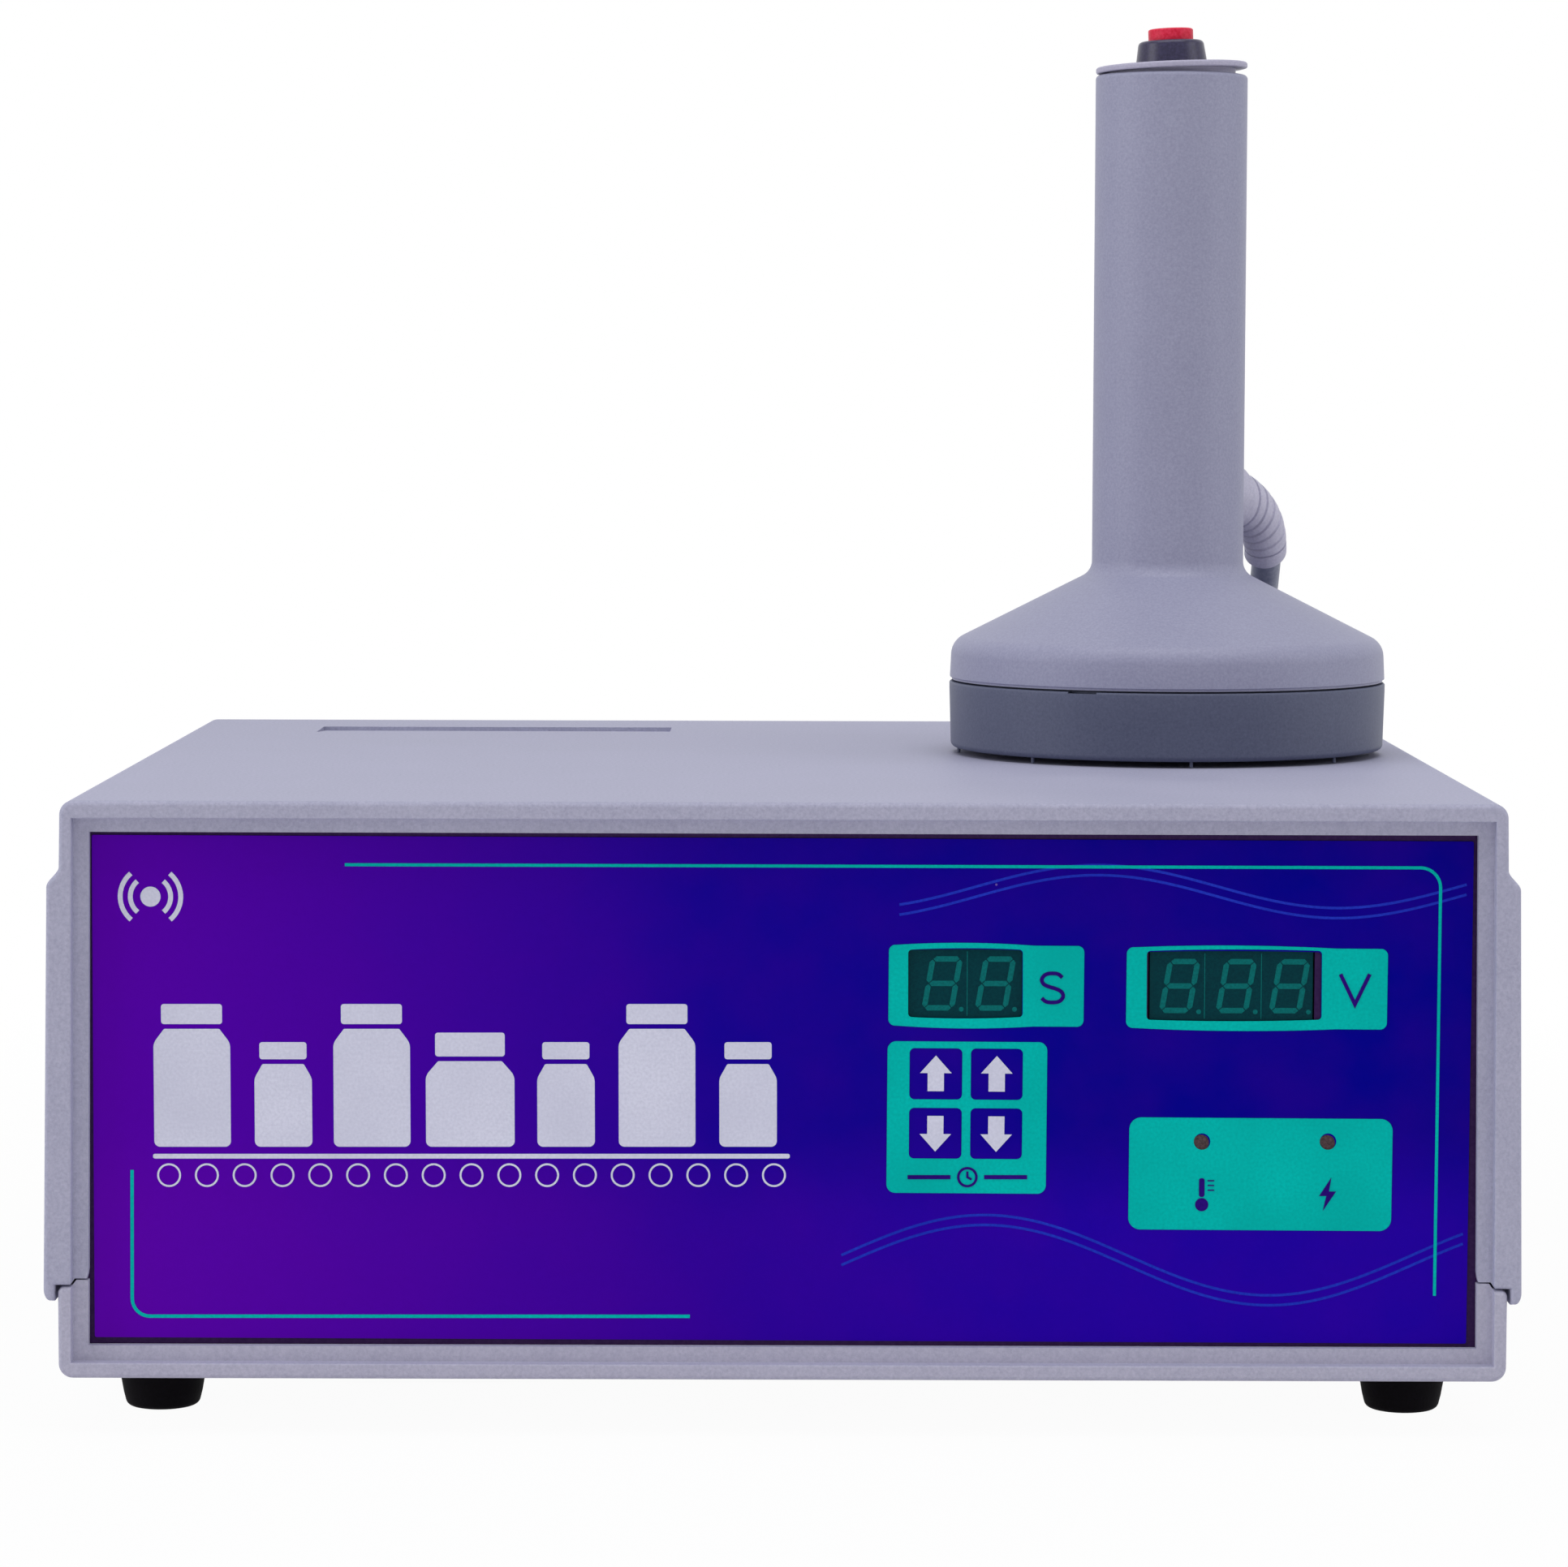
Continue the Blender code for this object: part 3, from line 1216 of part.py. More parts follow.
def make_handle():
    bore = TUBE_RADIUS - HEAD_WALL
    skirt = SKIRT_RADIUS - HEAD_WALL
    outside = rounded(
        [
            (bore, TUBE_TOP, 0),
            (TUBE_RADIUS + TUBE_DRAFT, TUBE_TOP, TUBE_EDGE),
            (TUBE_RADIUS, CONE_TOP, CONE_FILLET),
            (SHOULDER_RADIUS, SHOULDER_Z, SHOULDER_FILLET),
            (SKIRT_RADIUS, SKIRT_BOTTOM, 0),
        ],
        closed=False,
        facet=FINE_ANGLE,
    )
    inside = rounded(
        [
            (skirt, SKIRT_BOTTOM, 0),
            (skirt, cone_inside(skirt), SHOULDER_FILLET - HEAD_WALL),
            (bore, cone_inside(bore), CONE_FILLET),
            (bore, TUBE_TOP, 0),
        ],
        closed=False,
    )
    profile = outside + inside[:-1]
    handle = turned("handle_housing", profile, 36, at_head(0, 0, 0), HEAD_ABS)
    outward = Vector((math.cos(math.radians(BOOT_TURN)), math.sin(math.radians(BOOT_TURN)), 0))
    root = at_head(0, 0, BOOT_Z)
    far = root + outward * 2 * TUBE_RADIUS
    cut(handle, rod("boot_hole", root, far, BOOT_NECK_RADIUS + BORE_GAP, 12))


def base_profile():
    floor = BASE_BOTTOM + BASE_FLOOR
    lip_outer = SKIRT_RADIUS - HEAD_WALL - 2 * GAP
    lip_inner = lip_outer - LIP_WALL
    wall_inner = BASE_RADIUS - HEAD_WALL
    return rounded(
        [
            (0, floor, 0),
            (wall_inner, floor, 0),
            (wall_inner, LIP_SLOPE_START, 0),
            (lip_inner, LIP_SLOPE_START + wall_inner - lip_inner, 0),
            (lip_inner, BASE_TOP + LIP_RISE, 0),
            (lip_outer, BASE_TOP + LIP_RISE, 0),
            (lip_outer, BASE_TOP, 0),
            (BASE_RADIUS, BASE_TOP, GAP),
            (BASE_BOTTOM_RADIUS, BASE_BOTTOM, BASE_EDGE),
            (0, BASE_BOTTOM, 0),
        ],
        closed=False,
    )


def make_coil_base():
    base = turned("coil_base", base_profile(), 36, at_head(0, 0, 0), DARK_ABS)
    for i in range(NIB_COUNT):
        angle = math.radians(NIB_ANGLE + 360 * i / NIB_COUNT)
        x = NIB_CIRCLE * math.cos(angle)
        y = NIB_CIRCLE * math.sin(angle)
        low = at_head(x, y, GAP)
        join(base, rod(f"nib_{i + 1}", low, at_head(x, y, BASE_BOTTOM + BASE_FLOOR / 2), NIB_RADIUS, 8))
    slot = box(
        "pry_slot",
        (BASE_RADIUS - PRY_DEPTH, -PRY_WIDTH / 2, -PRY_HEIGHT),
        (BASE_RADIUS + PRY_DEPTH, PRY_WIDTH / 2, PRY_HEIGHT),
    )
    turn = Matrix.Rotation(math.radians(PRY_ANGLE), 4, "Z")
    slot.matrix_world = Matrix.Translation(at_head(0, 0, BASE_TOP)) @ turn @ Matrix.Translation(slot.location)
    cut(base, slot)

    outer = BASE_RADIUS - HEAD_WALL - HEAD_COIL_GAP
    bottom = BASE_BOTTOM + BASE_FLOOR + GAP
    top = bottom + COIL_HEIGHT
    pitch = (outer - COIL_INNER) / COIL_TURNS
    profile = []
    for i in range(COIL_TURNS):
        start = COIL_INNER + i * pitch
        profile += [(start, top - COIL_RIDGE), (start + pitch / 2, top)]
    profile += [(outer, top - COIL_RIDGE), (outer, bottom), (COIL_INNER, bottom)]
    turned("induction_coil", profile, 24, at_head(0, 0, 0), COPPER)
    ferrite_bottom = top + GAP
    ferrite_top = ferrite_bottom + FERRITE_HEIGHT
    ring = [(COIL_INNER, ferrite_top), (outer, ferrite_top), (outer, ferrite_bottom), (COIL_INNER, ferrite_bottom)]
    turned("ferrite_disc", ring, 24, at_head(0, 0, 0), FERRITE)


def make_cap_and_switch():
    """The handle's end cap with its push-button, on one leaning axis."""
    lean = bpy.data.objects.new("cap_axis", None)
    lean.location = at_head(0, 0, TUBE_TOP + CAP_LIFT)
    lean.rotation_euler = (0, math.radians(CAP_LEAN), 0)
    model.objects.link(lean)
    origin = Vector((0, 0, 0))
    spigot = TUBE_RADIUS - HEAD_WALL - SPIGOT_CLEARANCE
    hole = BARREL_RADIUS + BORE_GAP
    cap = turned(
        "handle_cap",
        rounded(
            [
                (hole, CAP_THICKNESS, 0),
                (CAP_RADIUS, CAP_THICKNESS, CAP_EDGE),
                (CAP_RADIUS, 0, CAP_EDGE),
                (spigot, 0, 0),
                (spigot, -SPIGOT_LENGTH, 0),
                (spigot - SPIGOT_WALL, -SPIGOT_LENGTH, 0),
                (spigot - SPIGOT_WALL, 0, 0),
                (hole, 0, 0),
            ]
        ),
        28,
        origin,
        HEAD_ABS,
    )
    bezel_bottom = CAP_THICKNESS + GAP
    bezel_top = CAP_THICKNESS + BEZEL_HEIGHT
    button_bottom = bezel_top - BUTTON_GRIP
    floor = button_bottom - BUTTON_TRAVEL - 2 * GAP
    bore = BUTTON_RADIUS + BORE_GAP
    body = turned(
        "trigger_switch_body",
        rounded(
            [
                (0, floor, 0),
                (bore, floor, 0),
                (bore, bezel_top, 0),
                (BEZEL_TOP_RADIUS, bezel_top, BEZEL_EDGE),
                (BEZEL_RADIUS, bezel_bottom, 0),
                (BARREL_RADIUS, bezel_bottom, 0),
                (BARREL_RADIUS, -BARREL_LENGTH, 0),
                (0, -BARREL_LENGTH, 0),
            ],
            closed=False,
        ),
        24,
        origin,
        BLACK_ABS,
    )
    button_top = bezel_top + BUTTON_PROUD
    button = turned(
        "trigger_button",
        rounded(
            [
                (0, button_top, 0),
                (BUTTON_RADIUS, button_top, BUTTON_EDGE),
                (BUTTON_RADIUS, button_bottom, 0),
                (0, button_bottom, 0),
            ],
            closed=False,
        ),
        24,
        origin,
        RED_NYLON,
    )
    nut_middle = Vector((0, 0, -GAP - SWITCH_NUT_HEIGHT / 2))
    outlines = [hexagon(0, 0, SWITCH_NUT_FLATS), circle(0, 0, BARREL_RADIUS + BORE_GAP, 16)]
    nut = prism("switch_nut", outlines, SWITCH_NUT_HEIGHT, nut_middle, LYING, STEEL)
    for obj in (cap, body, button, nut):
        obj.parent = lean


def smooth_line(knots, spacing):
    """Points a spacing apart on a smooth curve through the knots, ends included."""
    knots = [Vector(k) for k in knots]
    ends = [2 * knots[0] - knots[1], *knots, 2 * knots[-1] - knots[-2]]
    fine = []
    for a, b, c, d in zip(ends, ends[1:], ends[2:], ends[3:]):
        for k in range(12):
            t = k / 12
            bend = (2 * b) + (c - a) * t + (2 * a - 5 * b + 4 * c - d) * t * t
            fine.append((bend + (3 * b - a - 3 * c + d) * t * t * t) / 2)
    fine.append(knots[-1])
    lengths = [0.0]
    for a, b in zip(fine, fine[1:]):
        lengths.append(lengths[-1] + (b - a).length)
    count = max(2, round(lengths[-1] / spacing))
    points = []
    step = 0
    for i in range(count + 1):
        along = lengths[-1] * i / count
        while step < len(fine) - 2 and lengths[step + 1] < along:
            step += 1
        share = (along - lengths[step]) / (lengths[step + 1] - lengths[step])
        points.append(fine[step].lerp(fine[step + 1], min(1.0, share)))
    return points


def tube(name, points, radii, material, sides=2, collection=model):
    """A curve with filled caps along the points, with a radius at each one."""
    curve = bpy.data.curves.new(name, "CURVE")
    curve.dimensions = "3D"
    curve.bevel_depth = radii[0]
    curve.bevel_resolution = sides
    curve.use_fill_caps = True
    spline = curve.splines.new("POLY")
    spline.points.add(len(points) - 1)
    for point, place_at, radius in zip(spline.points, points, radii):
        point.co = (*place_at, 1)
        point.radius = radius / radii[0]
    return place(bpy.data.objects.new(name, curve), name, material, collection)


def boot_line(t):
    """The strain relief's centre line, from the head's axis side (t = 0) to its end (t = 1)."""
    outward = Vector((math.cos(math.radians(BOOT_TURN)), math.sin(math.radians(BOOT_TURN)), 0))
    start = at_head(0, 0, BOOT_Z) + outward * (TUBE_RADIUS - HEAD_WALL)
    end = at_head(*BOOT_END)
    lean = math.radians(BOOT_END_LEAN)
    downward = Vector((0, math.sin(lean), -math.cos(lean)))
    first = start + outward * 0.0125
    second = end - downward * 0.0095
    return start * (1 - t) ** 3 + first * 3 * t * (1 - t) ** 2 + second * 3 * t * t * (1 - t) + end * t ** 3


def make_boot():
    """A moulded sleeve: a collar on the tube, ribs that get slimmer along the bend, and a plain cuff."""
    samples = 60
    fine = [boot_line(i / samples) for i in range(samples + 1)]
    lengths = [0.0]
    for a, b in zip(fine, fine[1:]):
        lengths.append(lengths[-1] + (b - a).length)
    total = lengths[-1]
    ribs_start = BOOT_COLLAR_LENGTH + HEAD_WALL
    rib = (total - BOOT_CUFF_LENGTH - ribs_start) / BOOT_RIBS
    marks = [(0.0, BOOT_COLLAR_RADIUS), (ribs_start - rib * 0.2, BOOT_COLLAR_RADIUS)]
    for i in range(BOOT_RIBS):
        share = i / (BOOT_RIBS - 1)
        crest = BOOT_RIB_RADIUS + (BOOT_END_RADIUS + BOOT_GROOVE / 2 - BOOT_RIB_RADIUS) * share
        start = ribs_start + i * rib
        marks += [(start, crest - BOOT_GROOVE), (start + rib * 0.2, crest), (start + rib * 0.8, crest)]
    cuff = total - BOOT_CUFF_LENGTH
    marks += [(cuff, BOOT_END_RADIUS - BOOT_GROOVE), (cuff + rib * 0.2, BOOT_END_RADIUS)]
    marks += [(total - 0.0012, BOOT_END_RADIUS), (total - 0.0003, BOOT_END_RADIUS - 0.0006)]
    marks += [(total, BOOT_END_RADIUS - 0.0013)]
    points = []
    for along, _ in marks:
        step = max(i for i, length in enumerate(lengths) if length <= along + 1e-9)
        step = min(step, samples - 1)
        share = (along - lengths[step]) / (lengths[step + 1] - lengths[step])
        points.append(fine[step].lerp(fine[step + 1], share))
    drawn = tube("cable_boot", points, [radius for _, radius in marks], None, 3, cutters)
    cutters.objects.unlink(drawn)
    boot = place(solid_from_curve(drawn), "cable_boot", HEAD_ABS, model)
    low = at_head(0, 0, CONE_TOP)
    high = at_head(0, 0, BOOT_Z + 2 * BOOT_COLLAR_RADIUS)
    cut(boot, rod("boot_seat", low, high, TUBE_RADIUS + TUBE_DRAFT + GAP, 36))
    outward = Vector((math.cos(math.radians(BOOT_TURN)), math.sin(math.radians(BOOT_TURN)), 0))
    root = at_head(0, 0, BOOT_Z)
    start = root + outward * (TUBE_RADIUS - BOOT_NECK_REACH)
    end = root + outward * (TUBE_RADIUS + BOOT_COLLAR_LENGTH)
    join(boot, rod("boot_neck", start, end, BOOT_NECK_RADIUS, 12))


def make_cable():
    """The head's cable: down behind the case, a coil on the floor, and up to the gland."""
    lean = math.radians(BOOT_END_LEAN)
    downward = Vector((0, math.sin(lean), -math.cos(lean)))
    floor = CABLE_RADIUS + GAP
    coil = Vector((COIL_X, CASE_FRONT + COIL_DEPTH, 0))
    start = at_head(*BOOT_END) + downward * GAP
    coil_outer = COIL_OUTER_TURN + CABLE_RADIUS
    entry = coil + Vector((COIL_STANDOFF, -COIL_OUTER_TURN, floor))
    aside = Vector((CABLE_LEAD, 0, 0))
    knots = [start + downward * CABLE_LEAD] + [at_head(*point) for point in DROP_ROUTE] + [entry + aside]
    points = [start] + smooth_line(knots, CABLE_POINT_SPACING) + [entry]
    tube("cable_drop", points, [CABLE_RADIUS] * len(points), CABLE_PVC)

    leave = coil + Vector((COIL_STANDOFF, COIL_OUTER_TURN, floor + TURN_SPACING))
    mouth = at_case(GLAND_X, CASE_DEPTH + GLAND_REACH + GAP, GLAND_Z)
    route = [Vector((GLAND_X + x, CASE_FRONT + depth, z)) for x, depth, z in RISE_ROUTE]
    behind = Vector((0, CABLE_LEAD, 0))
    points = [leave] + smooth_line([leave + aside] + route + [mouth + behind], CABLE_POINT_SPACING) + [mouth]
    tube("cable_rise", points, [CABLE_RADIUS] * len(points), CABLE_PVC)

    inner = COIL_INNER_TURN - CABLE_RADIUS
    top = floor + TURN_SPACING + CABLE_RADIUS
    ring = rounded(
        [
            (inner, top, CABLE_RADIUS),
            (coil_outer, top, CABLE_RADIUS),
            (coil_outer, GAP, CABLE_RADIUS),
            (inner, GAP, CABLE_RADIUS),
        ],
        facet=COARSE_ANGLE,
    )
    turned("cable_coil", ring, 24, coil, CABLE_PVC)


def main():
    for obj in list(bpy.data.objects):
        bpy.data.objects.remove(obj)
    bpy.context.scene.collection.children.link(model)
    bpy.context.scene.collection.children.link(cutters)
    hollows = hollow_cutters()
    make_upper_shell(hollows)
    make_lower_shell(hollows)
    make_feet()
    make_front_panel()
    make_control_board()
    make_rear_panel()
    make_fan()
    make_inlet()
    make_rocker()
    make_fuse()
    make_gland()
    make_power_board()
    make_handle()
    make_coil_base()
    make_cap_and_switch()
    make_boot()
    make_cable()


main()
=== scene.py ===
"""Looks of the induction sealing machine: finer forms and finishes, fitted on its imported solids.

X runs to the right, Y from the front panel to the back, Z up, in metres, as in the solids. Heights and
depths in the case are measured from its underside and its front rim, those of the sealing head from the
top of the case and the head's own axis.
"""

import math

import bmesh
import bpy
from mathutils import Matrix, Vector


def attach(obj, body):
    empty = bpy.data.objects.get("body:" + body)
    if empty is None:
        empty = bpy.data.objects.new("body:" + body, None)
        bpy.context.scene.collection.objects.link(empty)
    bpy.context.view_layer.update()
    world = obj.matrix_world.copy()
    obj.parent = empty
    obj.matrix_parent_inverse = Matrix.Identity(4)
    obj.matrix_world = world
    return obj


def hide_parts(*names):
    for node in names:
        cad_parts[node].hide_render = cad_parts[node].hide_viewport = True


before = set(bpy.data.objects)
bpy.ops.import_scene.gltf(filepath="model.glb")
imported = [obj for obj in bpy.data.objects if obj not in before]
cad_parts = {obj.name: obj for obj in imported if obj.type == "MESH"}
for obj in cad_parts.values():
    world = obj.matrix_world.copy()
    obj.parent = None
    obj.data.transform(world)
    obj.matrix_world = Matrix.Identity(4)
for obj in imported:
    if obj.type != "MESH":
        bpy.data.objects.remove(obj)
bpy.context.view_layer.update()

# Camera
LENS = 112.1
CAMERA_REACH = 1.0059
CAMERA_RISE = 0.0828
CAMERA_TILT = 4.48
CAMERA_ROLL = 0.16
IMAGE_MIDDLE = 0.1245

# Studio
LIGHTS_AIM = (0.0, 0.0, 0.12)
FLOOR_HALF = 6

# Case
GAP = 0.0003
FILM_GAP = 0.0001
CASE_HALF_WIDTH = 0.1500
CASE_DEPTH = 0.2600
CASE_HEIGHT = 0.1210
CASE_WALL = 0.0025
CASE_CORNER = 0.0030
CASE_EDGE = 0.0010
TOP_EDGE = 0.0011
RIM_EDGE = 0.0004
RECESS_SPREAD = 0.0005
OPENING_SPREAD = (-0.0002, 0.0008)
LEDGE_FLARE = 0.0012
LEDGE_FLARE_RISE = 0.0045
WALL_DRAFT = 0.0002
BAND_TOP = 0.1072
BAND_SLOPE = 0.0042
BAND_STEP = 0.0026
BAND_DRAFT = 0.0013
LIP_THICKNESS = 0.0024
LIP_CLEARANCE = 0.0006
LIP_BEND = (0.00132, 0.0024)
SEAM_HEIGHT = 0.0193
LIP_DROP = 0.0030
TONGUE_RISE = 0.0010
TONGUE_SLOPE = 0.0007
RIM_SIDE = 0.0032
RIM_BOTTOM = 0.0033
RIM_TOP = 0.0037
RECESS_DEPTH = 0.0030
LEDGE_SIDE = 0.00355
LEDGE_BOTTOM = 0.0032
LEDGE_TOP = 0.0030
LEDGE_THICKNESS = 0.0020
GROOVE_BITE = 0.0022
FLANGE_THICKNESS = 0.0015
PANEL_THICKNESS = 0.0020
HOLD_LEFT = -0.1169
HOLD_RIGHT = -0.0286
HOLD_STEP_DEPTH = 0.2320
HOLD_RAMP = 0.0210
HOLD_SINK = 0.0010
VENT_WIDTH = 0.0030
VENT_PITCH = 0.0070
VENT_COUNT = 10
VENT_FIRST_DEPTH = 0.1320
VENT_BOTTOM = 0.0400
VENT_TOP = 0.0850

# Feet, screws and posts
FOOT_HEIGHT = 0.0120
FOOT_X = 0.1334
FOOT_INSET = 0.0330
FOOT_TOP_RADIUS = 0.00975
FOOT_TREAD_RADIUS = 0.0077
FOOT_ROUND = 0.0030
FOOT_PAD = 0.0012
FOOT_PAD_RADIUS = 0.0103
FOOT_RECESS_RADIUS = 0.0042
FOOT_RECESS_DEPTH = 0.0055
SCREW_RADIUS = 0.0014
SCREW_HEAD_RADIUS = 0.0033
SCREW_HEAD_HEIGHT = 0.0022
SCREW_REACH = 0.0120
SCREW_PITCH = 0.00055
SCREW_RIDGE = 0.0005
CROSS_ARM = 0.0019
CROSS_HALF = 0.0003
CROSS_DEPTH = 0.0012
POST_RADIUS = 0.0045
SOCKET_RADIUS = 0.0065
SOCKET_HEIGHT = 0.0076

# Front film and what is printed on it, from the case's middle and its underside
FILM_THICKNESS = 0.0003
FILM_SIDES = (-0.1441, 0.1432)
FILM_HEIGHTS = (0.00755, 0.1132)
FILM_TURN = -0.12
FIELD_TURN = -0.4
INK = 0.00002
# Windows of the displays: left, right, bottom and top, and from where to where their edges bow
TIME_WINDOW = (0.02586, 0.04975, 0.07578, 0.08993)
VOLT_WINDOW = (0.07556, 0.11203, 0.07521, 0.08967)
WINDOWS = ((TIME_WINDOW, (0.0262, 0.0494)), (VOLT_WINDOW, (0.0760, 0.1116)))
WINDOW_CORNER = 0.0008
TIME_MODULE = (0.0256, 0.0500, 0.0755, 0.0902)
VOLT_MODULE = (0.0763, 0.1104, 0.0750, 0.0899)
MODULE_DEPTH = 0.0076
MODULE_SET_BACK = 0.0003
LAMPS = {"overheat_lamp": (0.0873, 0.0496), "overcurrent_lamp": (0.1136, 0.0496)}
LAMP_RADIUS = 0.00168
LAMP_DOME = 0.00012
LAMP_HOLE = 0.0017
LAMP_BODY = 0.0036
DIGIT_HEIGHT = 0.0114
DIGIT_SLANT = 0.17
TIME_FIELD = (0.02180, 0.06247, 0.07387, 0.09080)
KEY_FIELD = (0.02150, 0.05480, 0.03870, 0.07060)
VOLT_FIELD = (0.07133, 0.12570, 0.07333, 0.09023)
LAMP_FIELD = (0.07204, 0.12700, 0.03090, 0.05452)
KEY_MIDDLE = (0.0381, 0.0546)
KEY_SQUARES = (
    (0.02610, 0.03712, 0.05842, 0.06920),
    (0.03890, 0.04975, 0.05842, 0.06920),
    (0.02610, 0.03712, 0.04595, 0.05665),
    (0.03890, 0.04975, 0.04595, 0.05665),
)

JAR_PLACES = (-0.1235, -0.1045, -0.0860, -0.0655, -0.0455, -0.0265, -0.0075)
JAR_BASE = 0.0485
EMBLEM = (-0.1318, 0.1010)

# Fittings of the rear panel
FAN_X = 0.0120
FAN_Z = 0.0600
FAN_SIDE = 0.0800
FAN_DEPTH = 0.0250
FAN_BORE = 0.0380
FAN_HUB = 0.0165
FAN_HUB_DEPTH = 0.0150
FAN_PLATE = 0.0025
FAN_RUN = 0.0008
FAN_CORNER = 0.0050
FAN_STRUT = 0.0020
FAN_SHAFT_BORE = 0.0023
FAN_SCREW_PLACE = 0.03575
FAN_SCREW_RADIUS = 0.00215
BLADE_COUNT = 7
BLADE_ROOT = 0.0010
BLADE_PITCH = 48
BLADE_TWIST = 20
BLADE_CHORD = 0.0185
BLADE_WIDENING = 0.0030
BLADE_SWEEP = 14
BLADE_BOW = 0.0022
BLADE_HALF = 0.0005
GUARD_WIRE = 0.0008
GUARD_RINGS = (0.0130, 0.0245, 0.0360)
GUARD_REACH = 0.0400
GLAND_X = 0.1080
GLAND_Z = 0.0300
GLAND_REACH = 0.0140
GLAND_THREAD_RADIUS = 0.0076
GLAND_THREAD_LENGTH = 0.0100
GLAND_FLATS = 0.0190
GLAND_HEX = 0.0040
GLAND_MOUTH_RADIUS = 0.0052
GLAND_LIP = 0.0006
GLAND_PITCH = 0.0012

# Sealing head
HEAD_X = 0.0904
HEAD_DEPTH = 0.1478
HEAD_WALL = 0.0023
TUBE_RADIUS = 0.0178
TUBE_DRAFT = -0.00005
TUBE_TOP = 0.1591
TUBE_EDGE = 0.0010
CONE_TOP = 0.0430
CONE_FILLET = 0.0040
SHOULDER_RADIUS = 0.0508
SHOULDER_Z = 0.0263
SHOULDER_FILLET = 0.0050
SKIRT_RADIUS = 0.0512
SKIRT_BOTTOM = 0.0179
SKIRT_LIP = 0.0005
BASE_RADIUS = 0.0513
BASE_TOP = 0.0170
BASE_BOTTOM = 0.0014
BASE_BOTTOM_RADIUS = 0.0509
BASE_EDGE = 0.0013
BASE_FLOOR = 0.0020
LIP_RISE = 0.0035
LIP_WALL = 0.0022
LIP_SLOPE_START = 0.0125
NIB_COUNT = 8
NIB_ANGLE = -87.7
NIB_RADIUS = 0.0004
NIB_CIRCLE = 0.0491
PRY_ANGLE = -116.4
PRY_WIDTH = 0.0070
PRY_HEIGHT = 0.0004
PRY_DEPTH = 0.0022
CAP_LEAN = -2.2
CAP_LIFT = 0.00100
CAP_RADIUS = 0.0177
CAP_THICKNESS = 0.0014
CAP_EDGE = 0.0004
SPIGOT_CLEARANCE = 0.0006
SPIGOT_LENGTH = 0.0060
SPIGOT_WALL = 0.0018
BEZEL_RADIUS = 0.00835
BEZEL_TOP_RADIUS = 0.00755
BEZEL_HEIGHT = 0.0056
BEZEL_EDGE = 0.0012
BARREL_RADIUS = 0.0059
BARREL_LENGTH = 0.0150
BUTTON_RADIUS = 0.00525
BUTTON_PROUD = 0.0028
BUTTON_TRAVEL = 0.0025
BUTTON_GRIP = 0.0050
BUTTON_EDGE = 0.0006
BUTTON_DISH = 0.0003

# Strain relief and cable
BOOT_TURN = 45.0
BOOT_Z = 0.0611
BOOT_COLLAR_RADIUS = 0.0078
BOOT_COLLAR_LENGTH = 0.0046
BOOT_RIB_RADIUS = 0.0070
BOOT_END_RADIUS = 0.0051
BOOT_GROOVE = 0.0005
BOOT_GROOVE_HALF_WIDTH = 0.00042
BOOT_RIBS = 6
BOOT_CUFF_LENGTH = 0.0036
BOOT_CUFF_ROUND = 0.0013
BOOT_END = (0.0261, 0.0270, 0.0456)
BOOT_END_SHIFT = (-0.0004, 0, 0.0003)
BOOT_END_LEAN = 40.0
BOOT_HANDLES = (0.0138, 0.0111)
CABLE_RADIUS = 0.0035
CABLE_LEAD = 0.0040
COIL_X = 0.0300
COIL_DEPTH = 0.3120
COIL_OUTER_TURN = 0.0440
COIL_INNER_TURN = 0.0278
COIL_TURNS = 4.5
TURN_SPACING = 0.0072
COIL_STANDOFF = 0.0257
DROP_ROUTE = (
    (0.0262, 0.0346, 0.0380),
    (0.0264, 0.0418, 0.0341),
    (0.0271, 0.0515, 0.0314),
    (0.0287, 0.0652, 0.0293),
    (0.0310, 0.0800, 0.0260),
    (0.0338, 0.0960, 0.0205),
    (0.0360, 0.1110, 0.0080),
    (0.0380, 0.1225, -0.0100),
    (0.0398, 0.1290, -0.0320),
    (0.0402, 0.1310, -0.0560),
    (0.0390, 0.1306, -0.0800),
    (0.0350, 0.1292, -0.1010),
    (0.0262, 0.1262, -0.1170),
    (0.0120, 0.1222, -0.1262),
    (-0.0060, 0.1206, -0.1292),
)
RISE_ROUTE = (
    (0.0740, 0.3545, 0.0116),
    (0.0880, 0.3480, 0.0142),
    (0.0985, 0.3370, 0.0195),
    (0.1048, 0.3220, 0.0278),
    (0.1075, 0.3060, 0.0360),
    (0.1080, 0.2910, 0.0409),
)

# Where things are, worked out from the sizes above
CASE_FRONT = -(CASE_DEPTH + GLAND_REACH) / 2
CASE_TOP = FOOT_HEIGHT + CASE_HEIGHT
HEAD_Y = CASE_FRONT + HEAD_DEPTH
LIP_INNER = CASE_HALF_WIDTH + WALL_DRAFT + BAND_STEP + BAND_DRAFT - LIP_THICKNESS
LOWER_HALF_WIDTH = LIP_INNER - LIP_CLEARANCE
RIM_HALF_WIDTH = LOWER_HALF_WIDTH - RIM_SIDE
OPENING_HALF_WIDTH = RIM_HALF_WIDTH - LEDGE_SIDE
OPENING_BOTTOM = RIM_BOTTOM + LEDGE_BOTTOM
OPENING_TOP = CASE_HEIGHT - RIM_TOP - LEDGE_TOP
GROOVE_START = RECESS_DEPTH + LEDGE_THICKNESS
GROOVE_END = GROOVE_START + PANEL_THICKNESS + 2 * GAP
CAVITY_START = GROOVE_END + FLANGE_THICKNESS
CAVITY_HALF_WIDTH = CASE_HALF_WIDTH - CASE_WALL
PANEL_FACE = GROOVE_START + GAP
REAR_FACE = CASE_DEPTH - PANEL_FACE
